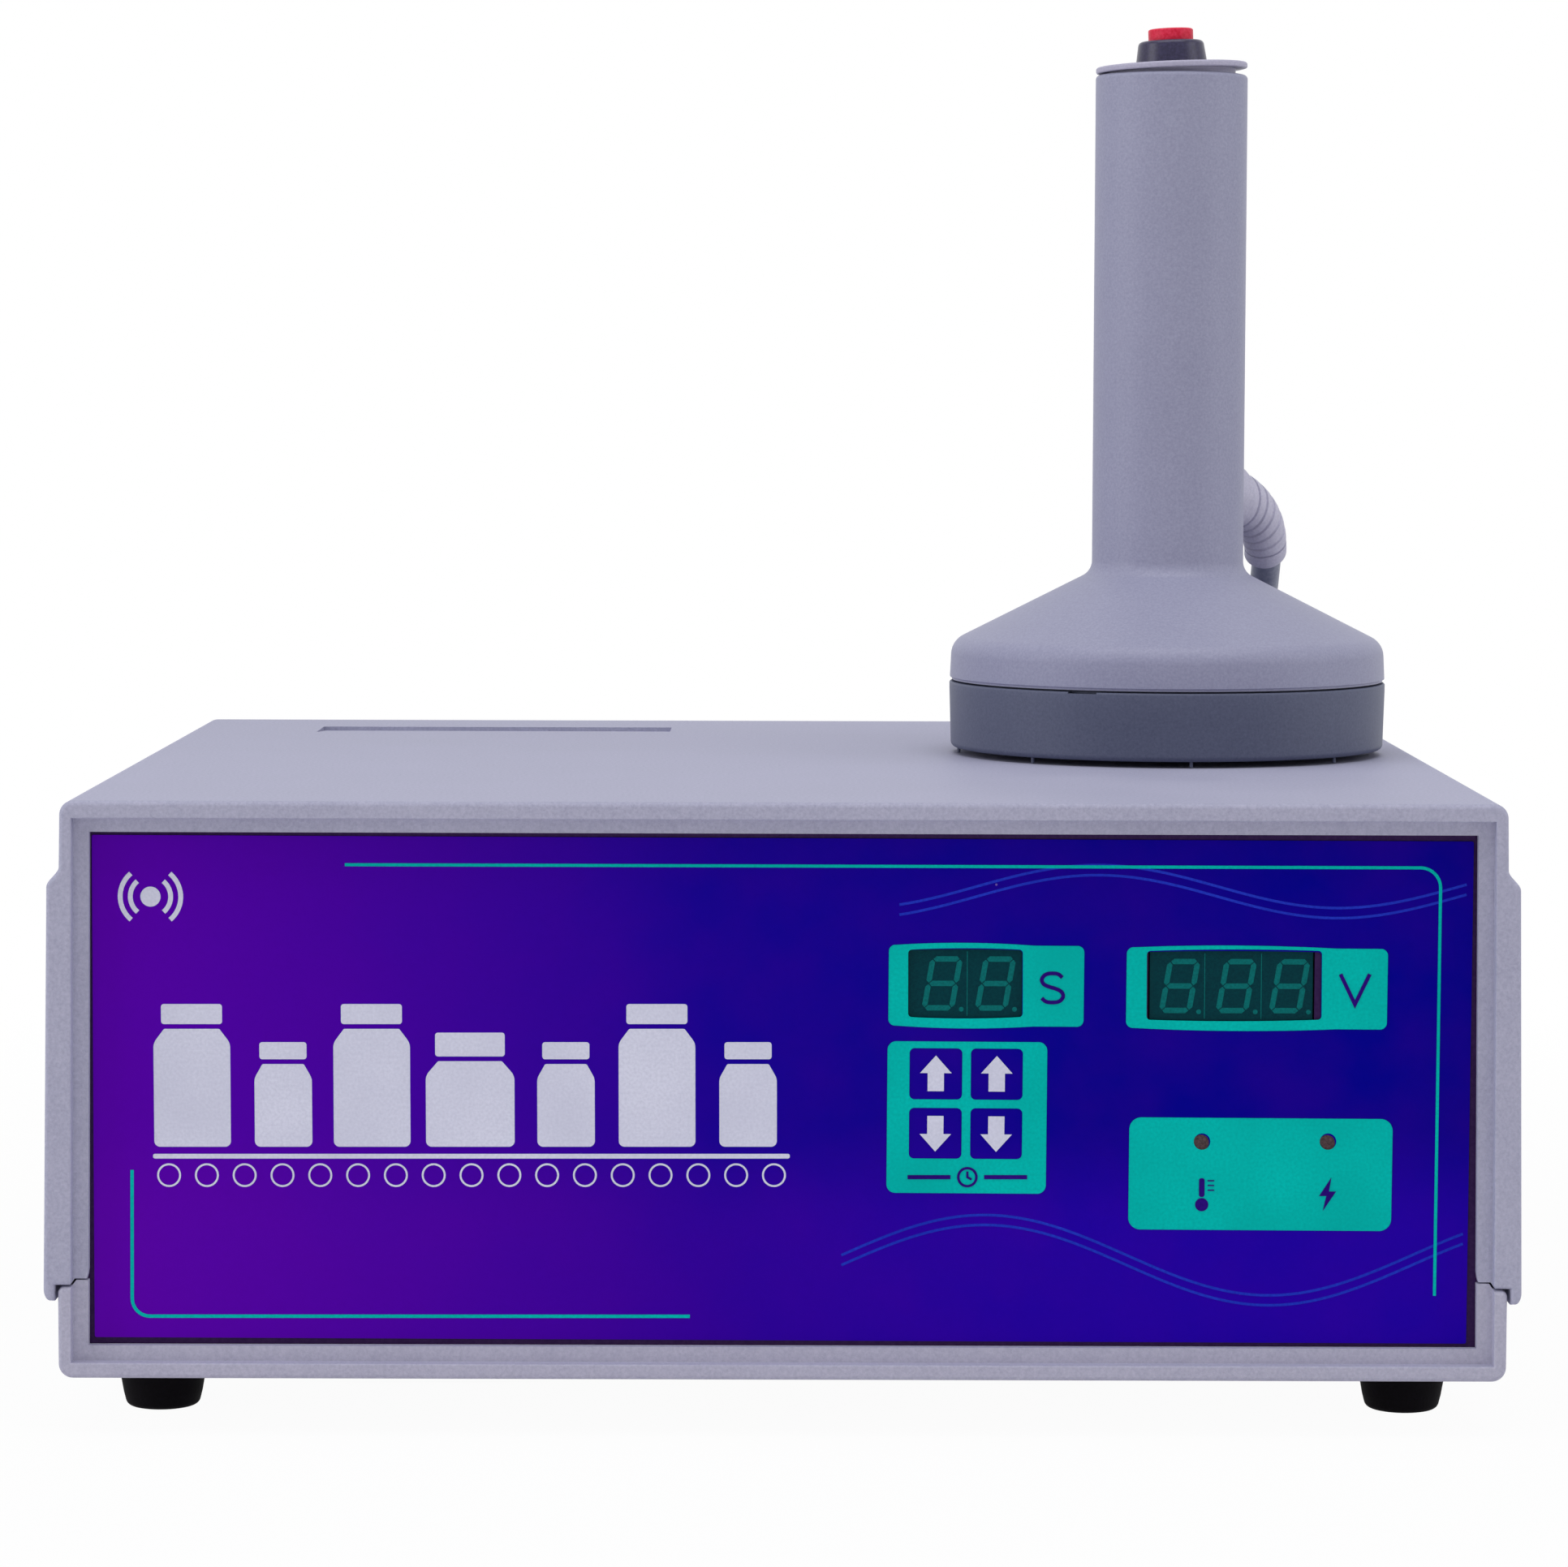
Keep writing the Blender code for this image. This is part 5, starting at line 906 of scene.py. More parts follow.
def band_curve(steps=14):
    """The side wall of the upper shell where it swells out into its band, from the top down."""
    top_x = CASE_HALF_WIDTH + WALL_DRAFT
    points = []
    for i in range(steps + 1):
        t = i / steps
        swell = t * t * (3 - 2 * t)
        points.append((top_x + BAND_STEP * swell, BAND_TOP - BAND_SLOPE * t))
    return points


def upper_outline():
    seam = SEAM_HEIGHT + GAP
    corner = rounded(
        [(0, CASE_HEIGHT, 0), (CASE_HALF_WIDTH, CASE_HEIGHT, CASE_CORNER), (CASE_HALF_WIDTH, BAND_TOP, 0)],
        closed=False,
    )
    outer = LIP_INNER + LIP_THICKNESS
    lip_bottom = SEAM_HEIGHT - LIP_DROP
    lip = [(outer, BAND_TOP - BAND_SLOPE)]
    for u, v in arc(0, 0, 1, 0, 90, 9):
        lip.append((outer - LIP_BEND[0] * (1 - u), lip_bottom + LIP_BEND[1] * (1 - v)))
    lip.append((LIP_INNER, lip_bottom))
    inside = [
        (LIP_INNER, seam),
        (RIM_HALF_WIDTH + TONGUE_SLOPE, seam),
        (RIM_HALF_WIDTH, seam + TONGUE_RISE),
    ]
    return mirrored(corner[1:-1] + band_curve() + lip[1:] + inside)


def lower_outline():
    half = LOWER_HALF_WIDTH
    right = rounded(
        [
            (RIM_HALF_WIDTH - GAP, SEAM_HEIGHT + TONGUE_RISE, 0),
            (RIM_HALF_WIDTH + TONGUE_SLOPE - GAP, SEAM_HEIGHT, 0),
            (half, SEAM_HEIGHT, CASE_EDGE * 1.5),
            (half, 0, CASE_CORNER),
            (0, 0, 0),
        ],
        closed=False,
    )
    return mirrored(right[:-1])


def hollows():
    """What is cut from both shells: rims, ledges and panel grooves at both ends, and the cavity."""
    beyond = 0.005
    far = CASE_DEPTH
    low_x = CAVITY_HALF_WIDTH
    inside = (CASE_WALL, CASE_HEIGHT - CASE_WALL)
    recess = (-RIM_HALF_WIDTH, RIM_HALF_WIDTH, RIM_BOTTOM, CASE_HEIGHT - RIM_TOP)
    groove = (-OPENING_HALF_WIDTH - GROOVE_BITE, OPENING_HALF_WIDTH + GROOVE_BITE)
    groove_z = (OPENING_BOTTOM - GROOVE_BITE, OPENING_TOP + GROOVE_BITE)
    opening = spread((-OPENING_HALF_WIDTH, OPENING_HALF_WIDTH, OPENING_BOTTOM, OPENING_TOP), *OPENING_SPREAD)
    return [
        cutter(across("opening_cut", [opening], -beyond, far + beyond, CASE_ABS)),
        eased_block("front_recess", recess, 0, RECESS_DEPTH, RIM_EDGE),
        eased_block("rear_recess", recess, far, far - RECESS_DEPTH, RIM_EDGE),
        case_block("front_groove", groove, (GROOVE_START, GROOVE_END), groove_z),
        case_block("rear_groove", groove, (far - GROOVE_END, far - GROOVE_START), groove_z),
        case_block("cavity", (-low_x, low_x), (CAVITY_START, far - CAVITY_START), inside),
    ]


def foot_bars(low, high, radius, sides=16):
    """A round bar over each foot, between two heights in the case."""
    return [bar(at_case(x, depth, low), at_case(x, depth, high), radius, sides) for x, depth in FOOT_PLACES]


def make_case():
    upper = case_blank("upper_case", upper_outline())
    cuts = hollows()
    pocket = CASE_HALF_WIDTH + WALL_DRAFT + BAND_STEP - CASE_WALL
    inset = CAVITY_START + CASE_WALL
    band = (SEAM_HEIGHT + LIP_DROP, BAND_TOP - BAND_SLOPE - CASE_WALL)
    cuts.append(case_block("band_hollow", (-pocket, pocket), (inset, CASE_DEPTH - inset), band))
    hold = [
        (HOLD_STEP_DEPTH, CASE_HEIGHT - HOLD_SINK),
        (HOLD_STEP_DEPTH, CASE_HEIGHT + HOLD_SINK),
        (HOLD_STEP_DEPTH - HOLD_RAMP, CASE_HEIGHT + HOLD_SINK),
        (HOLD_STEP_DEPTH - HOLD_RAMP, CASE_HEIGHT),
    ]
    place = at_case((HOLD_LEFT + HOLD_RIGHT) / 2, 0, 0)
    cuts.append(cutter(prism("hand_hold", [hold], HOLD_RIGHT - HOLD_LEFT, place, FACING_SIDE, MATT_BLACK)))
    for side in (-1, 1):
        within = side * (OPENING_HALF_WIDTH - LEDGE_FLARE)
        edge = side * (OPENING_HALF_WIDTH + OPENING_SPREAD[1])
        flare = [(within, SEAM_HEIGHT), (edge + side * LEDGE_FLARE, SEAM_HEIGHT)]
        for inset, rise in quarter(6)[1:]:
            out = LEDGE_FLARE * inset - OPENING_SPREAD[1] / 4 * (1 - inset)
            flare.append((edge + side * out, SEAM_HEIGHT + LEDGE_FLARE_RISE * rise))
        flare.append((within, SEAM_HEIGHT + LEDGE_FLARE_RISE))
        for name, front, back in (
            ("front", RECESS_DEPTH / 2, GROOVE_START + GAP),
            ("rear", CASE_DEPTH - GROOVE_START - GAP, CASE_DEPTH - RECESS_DEPTH / 2),
        ):
            cuts.append(cutter(across(f"{name}_flare_{side}", [flare], front, back, CASE_ABS)))
    outside = LIP_INNER + 2 * LIP_THICKNESS
    for i in range(VENT_COUNT):
        middle = VENT_FIRST_DEPTH + i * VENT_PITCH
        depths = (middle - VENT_WIDTH / 2, middle + VENT_WIDTH / 2)
        cuts.append(case_block(f"vent_{i + 1}", (-outside, outside), depths, (VENT_BOTTOM, VENT_TOP)))
    combine(upper, cuts, "DIFFERENCE")
    combine(upper, foot_bars(POST_BOTTOM, CASE_HEIGHT - CASE_WALL / 2, POST_RADIUS, 32), "UNION")
    combine(upper, foot_bars(POST_BOTTOM - GAP, POST_BOTTOM + SCREW_REACH + GAP, SCREW_RADIUS + GAP), "DIFFERENCE")
    wear(upper, "machine", "case_plastic", "upper_shell")

    lower = case_blank("lower_case", lower_outline())
    combine(lower, hollows(), "DIFFERENCE")
    inside = CASE_WALL / 2
    flare = FOOT_PAD_RADIUS + FOOT_PAD
    profile = [(0, SOCKET_HEIGHT), (SOCKET_RADIUS, SOCKET_HEIGHT), (SOCKET_RADIUS, inside), (flare, inside)]
    profile += rounded([(flare, 0, 0), (FOOT_PAD_RADIUS, 0, FOOT_PAD), (FOOT_PAD_RADIUS, -FOOT_PAD, 0)], closed=False)
    profile.append((0, -FOOT_PAD))
    places = [at_case(x, depth, 0) for x, depth in FOOT_PLACES]
    sockets = [turned(f"socket_{i + 1}", profile, 48, place, CASE_ABS) for i, place in enumerate(places)]
    combine(lower, sockets, "UNION")
    combine(lower, foot_bars(-2 * FOOT_PAD, 2 * SOCKET_HEIGHT, SCREW_RADIUS + 2 * GAP), "DIFFERENCE")
    # The lower shell wears the paler copy of the case plastic: painted light from below
    repaint(lower, LOWER_ABS_PAINTED_LIT)
    wear(lower, "machine", "case_plastic", "lower_shell")


def make_feet():
    top = -FOOT_PAD - GAP
    recess_top = -FOOT_HEIGHT + FOOT_RECESS_DEPTH
    bore = SCREW_RADIUS + 2 * GAP
    foot = (
        (bore, top, 0),
        (FOOT_TOP_RADIUS, top, 0.0004),
        (FOOT_TREAD_RADIUS + FOOT_ROUND / 4, -FOOT_HEIGHT + FOOT_ROUND, FOOT_ROUND),
        (FOOT_TREAD_RADIUS, -FOOT_HEIGHT, FOOT_ROUND / 2),
        (FOOT_RECESS_RADIUS, -FOOT_HEIGHT, 0.0003),
        (FOOT_RECESS_RADIUS, recess_top, 0),
        (bore, recess_top, 0),
    )
    head_top = recess_top - GAP
    head_bottom = head_top - SCREW_HEAD_HEIGHT
    thread = POST_BOTTOM + SCREW_REACH - SCREW_RADIUS
    screw = [(0, thread + SCREW_RADIUS), (SCREW_RADIUS, thread)]
    while thread > head_top + 0.001:
        screw += [(SCREW_RADIUS, thread), (SCREW_RADIUS * 0.8, thread - SCREW_RIDGE / 2)]
        screw.append((SCREW_RADIUS, thread - SCREW_RIDGE))
        thread -= SCREW_PITCH
    head = ((SCREW_RADIUS, head_top, 0), (SCREW_HEAD_RADIUS, head_top, 0))
    head += ((SCREW_HEAD_RADIUS, head_bottom, SCREW_HEAD_HEIGHT * 0.7), (0, head_bottom, 0))
    screw += rounded(head, closed=False)
    for i, (x, depth) in enumerate(FOOT_PLACES):
        place = at_case(x, depth, 0)
        fitted(f"foot_{i + 1}", foot, 64, place, RUBBER, "foot_rubber", f"rubber_foot_{i + 1}", closed=True)
        made = turned(f"foot_screw_{i + 1}", screw, 24, place, STEEL)
        cross = []
        for k, (w, d) in enumerate(((CROSS_ARM, CROSS_HALF), (CROSS_HALF, CROSS_ARM))):
            heights = (head_bottom - 0.001, head_bottom + CROSS_DEPTH)
            cross.append(case_block(f"cross_{k}", (x - w, x + w), (depth - d, depth + d), heights))
        combine(made, cross, "DIFFERENCE")
        wear(made, "machine", "plated_steel", f"case_screw_{i + 1}")


# Front


def bowed(frame_of, radius, rise_by, from_x, to_x):
    """A rounded rectangle whose upper and lower edges bow outwards between two x places."""
    points = []
    left, right, bottom, top = frame_of
    outline = rectangle(frame_of, radius)
    lower = [p for p in outline if p[1] < (bottom + top) / 2]
    upper = [p for p in outline if p[1] >= (bottom + top) / 2]
    stretch = [from_x + (to_x - from_x) * i / 12 for i in range(13)]
    stretch = [x for x in stretch if left + radius < x < right - radius]
    for x in stretch:
        share = 2 * (x - from_x) / (to_x - from_x) - 1
        points.append((x, rise_by * (1 - share * share)))
    cut = [i for i, p in enumerate(lower) if p[0] > (left + right) / 2][0]
    lower[cut:cut] = [(x, bottom - bow) for x, bow in points]
    cut = [i for i, p in enumerate(upper) if p[0] < (left + right) / 2][0]
    upper[cut:cut] = [(x, top + bow) for x, bow in reversed(points)]
    return lower + upper


def windows(rise):
    """The openings over both displays, whose upper and lower edges bow by an amount."""
    return [bowed(frame_of, WINDOW_CORNER, rise, *bow) for frame_of, bow in WINDOWS]


def stroke(points, width, closed=False):
    """The outline of an even line along points."""
    points = [Vector(p) for p in points]
    one = []
    other = []
    count = len(points)
    for i, point in enumerate(points):
        before = points[i - 1] if i > 0 or closed else point
        after = points[(i + 1) % count] if i < count - 1 or closed else point
        inward = (point - before).normalized() if (point - before).length > 0 else (after - point).normalized()
        onward = (after - point).normalized() if (after - point).length > 0 else inward
        along = (inward + onward).normalized()
        side = Vector((-along.y, along.x)) * (width / 2 / max(0.3, along.dot(onward)))
        one.append(tuple(point + side))
        other.append(tuple(point - side))
    if closed:
        return [one, other]
    return [one + other[::-1]]


def arc(x, y, radius, start, end, steps=24):
    """Points on an arc, between two angles in degrees."""
    angles = [math.radians(start + (end - start) * i / steps) for i in range(steps + 1)]
    return [(x + radius * math.cos(a), y + radius * math.sin(a)) for a in angles]


def leaning(outline, middle):
    """An outline turned a little about a place, as the control fields lie on the film."""
    lean = Matrix.Rotation(math.radians(FIELD_TURN), 2)
    middle = Vector(middle)
    return [tuple(middle + lean @ (Vector(point) - middle)) for point in outline]


def printed(name, outlines, layer, material):
    """An ink layer on the film: one film of ink thick, clear of the layer below."""
    face = FILM_FACE - (2 * layer - 1) * INK
    turn = Matrix.Rotation(math.radians(CAMERA_ROLL), 2)
    pivot = Vector((0, IMAGE_MIDDLE))
    turned_lines = []
    for outline in outlines:
        moved = [pivot + turn @ (Vector(point) - pivot) for point in outline]
        turned_lines.append([(p.x, p.y) for p in moved])
    made = across(name, turned_lines, face - INK, face, material)
    made.modifiers.clear()
    return wear(made, "machine", "printed_film")


def arrow(x, z, up):
    """A block arrow about its middle."""
    half = 0.00375
    head = 0.0033
    stem = 0.0017
    width = 0.0037
    points = [(-stem, -half), (stem, -half), (stem, half - width), (head, half - width), (0, half)]
    points += [(-head, half - width), (-stem, half - width)]
    way = 1 if up else -1
    return [(x + px, z + way * pz) for px, pz in points]


def jar(x, base, width, height, cap):
    """A jar with a shoulder and a cap, as two outlines."""
    half = width / 2
    neck = half * 0.72
    body_top = base + height - cap - 0.0010
    body = rounded(
        [
            (x - half, base, 0.0012),
            (x + half, base, 0.0012),
            (x + half, body_top - 0.0030, 0.0028),
            (x + neck, body_top, 0.0005),
            (x - neck, body_top, 0.0005),
            (x - half, body_top - 0.0030, 0.0028),
        ]
    )
    lid = rectangle((x - neck - 0.0006, x + neck + 0.0006, base + height - cap, base + height), 0.0006)
    return [body, lid]


def make_print():
    """Fields, lines and plain symbols on the film."""
    line_a = rounded([(-0.09132, 0.10767, 0), (0.13658, 0.10700, 0.0042), (0.13616, 0.01701, 0)], closed=False)
    line_b = rounded([(-0.13622, 0.04361, 0), (-0.13650, 0.01270, 0.0037), (-0.01973, 0.01266, 0)], closed=False)
    printed("teal_lines", stroke(line_a, 0.00064) + stroke(line_b, 0.00070), 2, TEAL_INK)

    waves = []
    for shift in (0.0, 0.0021):
        lower = [(x / 1000, 0.0235 + shift + 0.0085 * math.sin((x - 12) / 19)) for x in range(12, 143, 2)]
        upper = [(x / 1000, 0.1010 + shift + 0.0045 * math.sin((x - 40) / 16)) for x in range(24, 143, 2)]
        waves += stroke(lower, 0.00055) + stroke(upper, 0.00055)
    printed("blue_waves", waves, 1, BLUE_INK)

    time_hole, volt_hole = windows(0.0003)
    time_field = leaning(bowed(TIME_FIELD, 0.00135, 0.0005, 0.0235, 0.0520), (0.0421, 0.0822))
    printed("time_field", [time_field, time_hole], 3, TEAL_INK)
    volt_field = leaning(bowed(VOLT_FIELD, 0.0014, 0.0005, 0.0730, 0.1150), (0.0985, 0.0818))
    printed("volt_field", [volt_field, volt_hole], 3, TEAL_INK)
    keys = [leaning(rectangle(square, 0.0011), KEY_MIDDLE) for square in KEY_SQUARES]
    printed("key_field", [leaning(rectangle(KEY_FIELD, 0.0018), KEY_MIDDLE)] + keys, 3, TEAL_INK)
    holes = [circle(x, z, LAMP_HOLE + 0.00003) for x, z in LAMPS.values()]
    printed("lamp_field", [leaning(rectangle(LAMP_FIELD, 0.0025), (0.0995, 0.0427))] + holes, 3, TEAL_INK)

    arrows = []
    for i, (left, right, bottom, top) in enumerate(KEY_SQUARES):
        drawn = arrow((left + right) / 2, (bottom + top) / 2 + (0.0001 if i < 2 else -0.0001), i < 2)
        arrows.append(leaning(drawn, KEY_MIDDLE))
    printed("key_arrows", arrows, 3, PALE_INK)

    half_width, half_height = 0.00225, 0.00305
    bends = ((0.92, 0.70), (0.55, 0.94), (0, 1.0), (-0.62, 0.92), (-0.98, 0.60), (-0.82, 0.27), (-0.35, 0.09))
    bends += ((0.35, -0.07), (0.86, -0.28), (1.0, -0.62), (0.64, -0.93), (0, -1.0), (-0.60, -0.94), (-0.98, -0.70))
    knots = [(0.05590 + half_width * u, 0.08190 + half_height * v, 0) for u, v in bends]
    letter_s = [(point.x, point.y) for point in smooth_line(knots, 0.0004)]
    letter_v = [(0.11590, 0.08478), (0.11895, 0.07845), (0.12200, 0.08478)]
    symbols = stroke(letter_s, 0.00082) + stroke(letter_v, 0.00082)
    # A clock for the time keys, a thermometer for heat and a flash for current
    cx, cz = 0.0383, 0.0421
    symbols += stroke(circle(cx, cz, 0.0019, 32), 0.00055, closed=True)
    symbols += stroke([(cx, cz + 0.0012), (cx, cz), (cx + 0.0009, cz - 0.0005)], 0.0005)
    for side in (-1, 1):
        symbols += stroke([(cx + side * 0.0035, cz), (cx + side * 0.0125, cz)], 0.0009)
    tx, tz = 0.0873, 0.0385
    symbols.append(circle(tx, tz - 0.0022, 0.0014, 24))
    symbols += [rectangle((tx - 0.0006, tx + 0.0006, tz - 0.0006, tz + 0.0034), 0.0005)]
    for k in range(3):
        symbols.append(rectangle((tx + 0.0012, tx + 0.0026, tz + 0.0007 + k * 0.0010, tz + 0.0010 + k * 0.0010)))
    fx = 0.1136
    flash = [(0.0008, 0.0036), (-0.0018, -0.0004), (-0.0003, -0.0004), (-0.0010, -0.0036)]
    flash += [(0.0018, 0.0006), (0.0003, 0.0006)]
    symbols.append([(fx + px, tz + pz) for px, pz in flash])
    printed("symbols", symbols, 5, VIOLET_INK)

    # A row of capped jars on a roller conveyor
    jars = []
    tall, small, wide = (0.0160, 0.0300, 0.0042), (0.0120, 0.0220, 0.0036), (0.0185, 0.0240, 0.0050)
    for x, size in zip(JAR_PLACES, (tall, small, tall, wide, small, tall, small)):
        jars += jar(x, JAR_BASE, *size)
    jars.append(rectangle((-0.1318, 0.0012, 0.0460, 0.0470), 0.0004))
    printed("jar_row", jars, 1, PALE_INK)
    rollers = []
    for i in range(17):
        rollers += stroke(circle(-0.1285 + i * 0.0079, 0.0425, 0.0023, 32), 0.0004, closed=True)
    printed("rollers", rollers, 1, PALE_INK)
    emblem = [circle(*EMBLEM, 0.0021)]
    for radius in (0.0042, 0.0063):
        for side in (0, 180):
            emblem += stroke(arc(*EMBLEM, radius, side - 50, side + 50, 20), 0.0010)
    printed("wave_mark", emblem, 1, PALE_INK)


def make_film():
    turn = Matrix.Rotation(math.radians(FILM_TURN), 2)
    outlines = [[tuple(turn @ Vector(point)) for point in rectangle((*FILM_SIDES, *FILM_HEIGHTS), 0.0004)]]
    outlines += windows(0.0002) + [circle(x, z, LAMP_HOLE) for x, z in LAMPS.values()]
    wear(across("film", outlines, FILM_FACE, FILM_BACK, FILM), "machine", "printed_film", "front_overlay")


def digit(x, z, height):
    """The seven slanted segments of a digit about its middle, as outlines."""
    half = height / 2
    width = height * 0.25
    thick = height * 0.050
    gap = height * 0.012
    segments = []
    inner = width - gap - thick
    for level in (-half + thick, 0, half - thick):
        segment = [(-inner - thick, level), (-inner, level + thick), (inner, level + thick)]
        segments.append(segment + [(inner + thick, level), (inner, level - thick), (-inner, level - thick)])
    for side in (-width, width):
        for low, high in ((-half + thick + gap, -gap), (gap, half - thick - gap)):
            segment = [(side, low), (side + thick, low + thick), (side + thick, high - thick)]
            segments.append(segment + [(side, high), (side - thick, high - thick), (side - thick, low + thick)])
    return [[(x + px + DIGIT_SLANT * pz, z + pz) for px, pz in segment] for segment in segments]


def make_displays():
    for name, module, middles, joins in (
        ("time_display", TIME_MODULE, (0.0331, 0.0442), (0.0383,)),
        ("voltage_display", VOLT_MODULE, (0.0826, 0.0944, 0.1055), (0.0878, 0.0996)),
    ):
        body = across(f"{name}_block", [rectangle(module)], MODULE_FACE, MODULE_FACE + MODULE_DEPTH, DISPLAY)
        wear(soften(body, 0.0002, 2), "machine", "display", name)
        bottom, top = module[2:]
        middle = (bottom + top) / 2
        segments = []
        for x in middles:
            segments += digit(x, middle, DIGIT_HEIGHT) + [circle(x + 0.0040, middle - 0.0054, 0.0005, 16)]
        for x in joins:
            segments.append(rectangle((x - 0.00008, x + 0.00008, bottom + 0.0006, top - 0.0006)))
        lit = across(f"{name}_segments", segments, MODULE_FACE - 0.00004, MODULE_FACE - 0.00001, SEGMENT)
        lit.modifiers.clear()
        wear(lit, "machine", "display")


def make_lamps():
    profile = [(0, LAMP_BODY)]
    profile += [(LAMP_RADIUS * k / 8, LAMP_BODY - LAMP_DOME * (k / 8) ** 2) for k in range(1, 9)]
    profile += [(LAMP_RADIUS, LAMP_BODY / 3), (0, LAMP_BODY / 3)]
    for name, (x, z) in LAMPS.items():
        place = Matrix.Translation(at_case(x, FILM_FACE + LAMP_BODY - INK, z)) @ TURNED_FRONT
        wear(turned(f"{name}_lens", profile, 32, place, SMOKED_EPOXY), "machine", "lamp_lens")


# Sealing head


def cone_inside(radius):
    slope = (CONE_TOP - SHOULDER_Z) / (SHOULDER_RADIUS - TUBE_RADIUS)
    return SHOULDER_Z + (SHOULDER_RADIUS - radius) * slope - HEAD_WALL * math.sqrt(1 + slope * slope)


def make_handle():
    bore = TUBE_RADIUS - HEAD_WALL
    skirt = SKIRT_RADIUS - HEAD_WALL
    corners = (
        (bore, TUBE_TOP, 0),
        (TUBE_RADIUS + TUBE_DRAFT, TUBE_TOP, TUBE_EDGE),
        (TUBE_RADIUS, CONE_TOP, CONE_FILLET),
        (SHOULDER_RADIUS, SHOULDER_Z, SHOULDER_FILLET),
        (SKIRT_RADIUS, SKIRT_BOTTOM, TUBE_EDGE / 4),
        (SKIRT_RADIUS - SKIRT_LIP, SKIRT_BOTTOM, 0),
        (SKIRT_RADIUS - SKIRT_LIP, SKIRT_BOTTOM - SKIRT_LIP, 0),
        (skirt, SKIRT_BOTTOM - SKIRT_LIP, 0),
        (skirt, cone_inside(skirt), SHOULDER_FILLET - HEAD_WALL),
        (bore, cone_inside(bore), CONE_FILLET),
    )
    fitted("handle", corners, 128, at_head(0, 0, 0), HEAD_ABS, "head_plastic", "handle_housing", closed=True)


def make_coil_base():
    floor = BASE_BOTTOM + BASE_FLOOR
    lip_outer = SKIRT_RADIUS - HEAD_WALL - 2 * GAP
    lip_inner = lip_outer - LIP_WALL
    wall_inner = BASE_RADIUS - HEAD_WALL
    corners = (
        (0, floor, 0),
        (wall_inner, floor, 0),
        (wall_inner, LIP_SLOPE_START, 0),
        (lip_inner, LIP_SLOPE_START + wall_inner - lip_inner, 0),
        (lip_inner, BASE_TOP + LIP_RISE, 0),
        (lip_outer, BASE_TOP + LIP_RISE, 0.0003),
        (lip_outer, BASE_TOP, 0),
        (BASE_RADIUS, BASE_TOP, 0.0005),
        (BASE_RADIUS, BASE_TOP - 4 * PRY_HEIGHT, 0),
        (BASE_BOTTOM_RADIUS, BASE_BOTTOM, BASE_EDGE),
        (BASE_BOTTOM_RADIUS - 2 * BASE_EDGE, BASE_BOTTOM, 0),
        (0, BASE_BOTTOM, 0),
    )
    base = turned("base_shell", rounded(corners, closed=False), 128, at_head(0, 0, 0), BASE_ABS)
    nibs = []
    for i in range(NIB_COUNT):
        angle = math.radians(NIB_ANGLE + 360 * i / NIB_COUNT)
        low = at_head(NIB_CIRCLE * math.cos(angle), NIB_CIRCLE * math.sin(angle), GAP / 3)
        nibs.append(bar(low, low + Vector((0, 0, BASE_BOTTOM + BASE_FLOOR / 2 - GAP / 3)), NIB_RADIUS, 16))
    combine(base, nibs, "UNION")
    low = (BASE_RADIUS - PRY_DEPTH, -PRY_WIDTH / 2, -PRY_HEIGHT)
    slot = block("pry_slot", low, (BASE_RADIUS + PRY_DEPTH, PRY_WIDTH / 2, PRY_HEIGHT))
    slot.matrix_world = Matrix.Translation(at_head(0, 0, BASE_TOP)) @ Matrix.Rotation(math.radians(PRY_ANGLE), 4, "Z")
    combine(base, [slot], "DIFFERENCE")
    wear(base, "machine", "base_plastic", "coil_base")


def make_cap_and_switch():
    place = Matrix.Translation(at_head(0, 0, TUBE_TOP + CAP_LIFT)) @ Matrix.Rotation(math.radians(CAP_LEAN), 4, "Y")
    spigot = TUBE_RADIUS - HEAD_WALL - SPIGOT_CLEARANCE
    hole = BARREL_RADIUS + GAP
    cap = (
        (hole, CAP_THICKNESS, 0),
        (CAP_RADIUS, CAP_THICKNESS, CAP_EDGE * 1.4),
        (CAP_RADIUS, 0, CAP_EDGE),
        (spigot, 0, 0),
        (spigot, -SPIGOT_LENGTH, 0),
        (spigot - SPIGOT_WALL, -SPIGOT_LENGTH, 0),
        (spigot - SPIGOT_WALL, 0, 0),
        (hole, 0, 0),
    )
    fitted("end_cap", cap, 96, place, CAP_ABS, "head_plastic", "handle_cap", closed=True)
    bezel_bottom = CAP_THICKNESS + GAP
    bezel_top = CAP_THICKNESS + BEZEL_HEIGHT
    button_bottom = bezel_top - BUTTON_GRIP
    floor = button_bottom - BUTTON_TRAVEL - 2 * GAP
    bezel = (
        (0, floor, 0),
        (BUTTON_RADIUS + GAP, floor, 0),
        (BUTTON_RADIUS + GAP, bezel_top, GAP),
        (BEZEL_TOP_RADIUS, bezel_top, BEZEL_EDGE),
        (BEZEL_RADIUS, bezel_bottom, 0),
        (BARREL_RADIUS, bezel_bottom, 0),
        (BARREL_RADIUS, -BARREL_LENGTH, 0),
        (0, -BARREL_LENGTH, 0),
    )
    fitted("switch_bezel", bezel, 64, place, GLOSS_BLACK, "black_plastic", "trigger_switch_body")
    button_top = bezel_top + BUTTON_PROUD
    button = (
        (0, button_top - BUTTON_DISH, 0),
        (BUTTON_RADIUS * 0.7, button_top - BUTTON_DISH, 0),
        (BUTTON_RADIUS * 0.8, button_top, 0),
        (BUTTON_RADIUS, button_top, BUTTON_EDGE),
        (BUTTON_RADIUS, button_bottom, 0),
        (0, button_bottom, 0),
    )
    fitted("red_button", button, 64, place, RED, "red_plastic", "trigger_button", body="trigger_button_body")


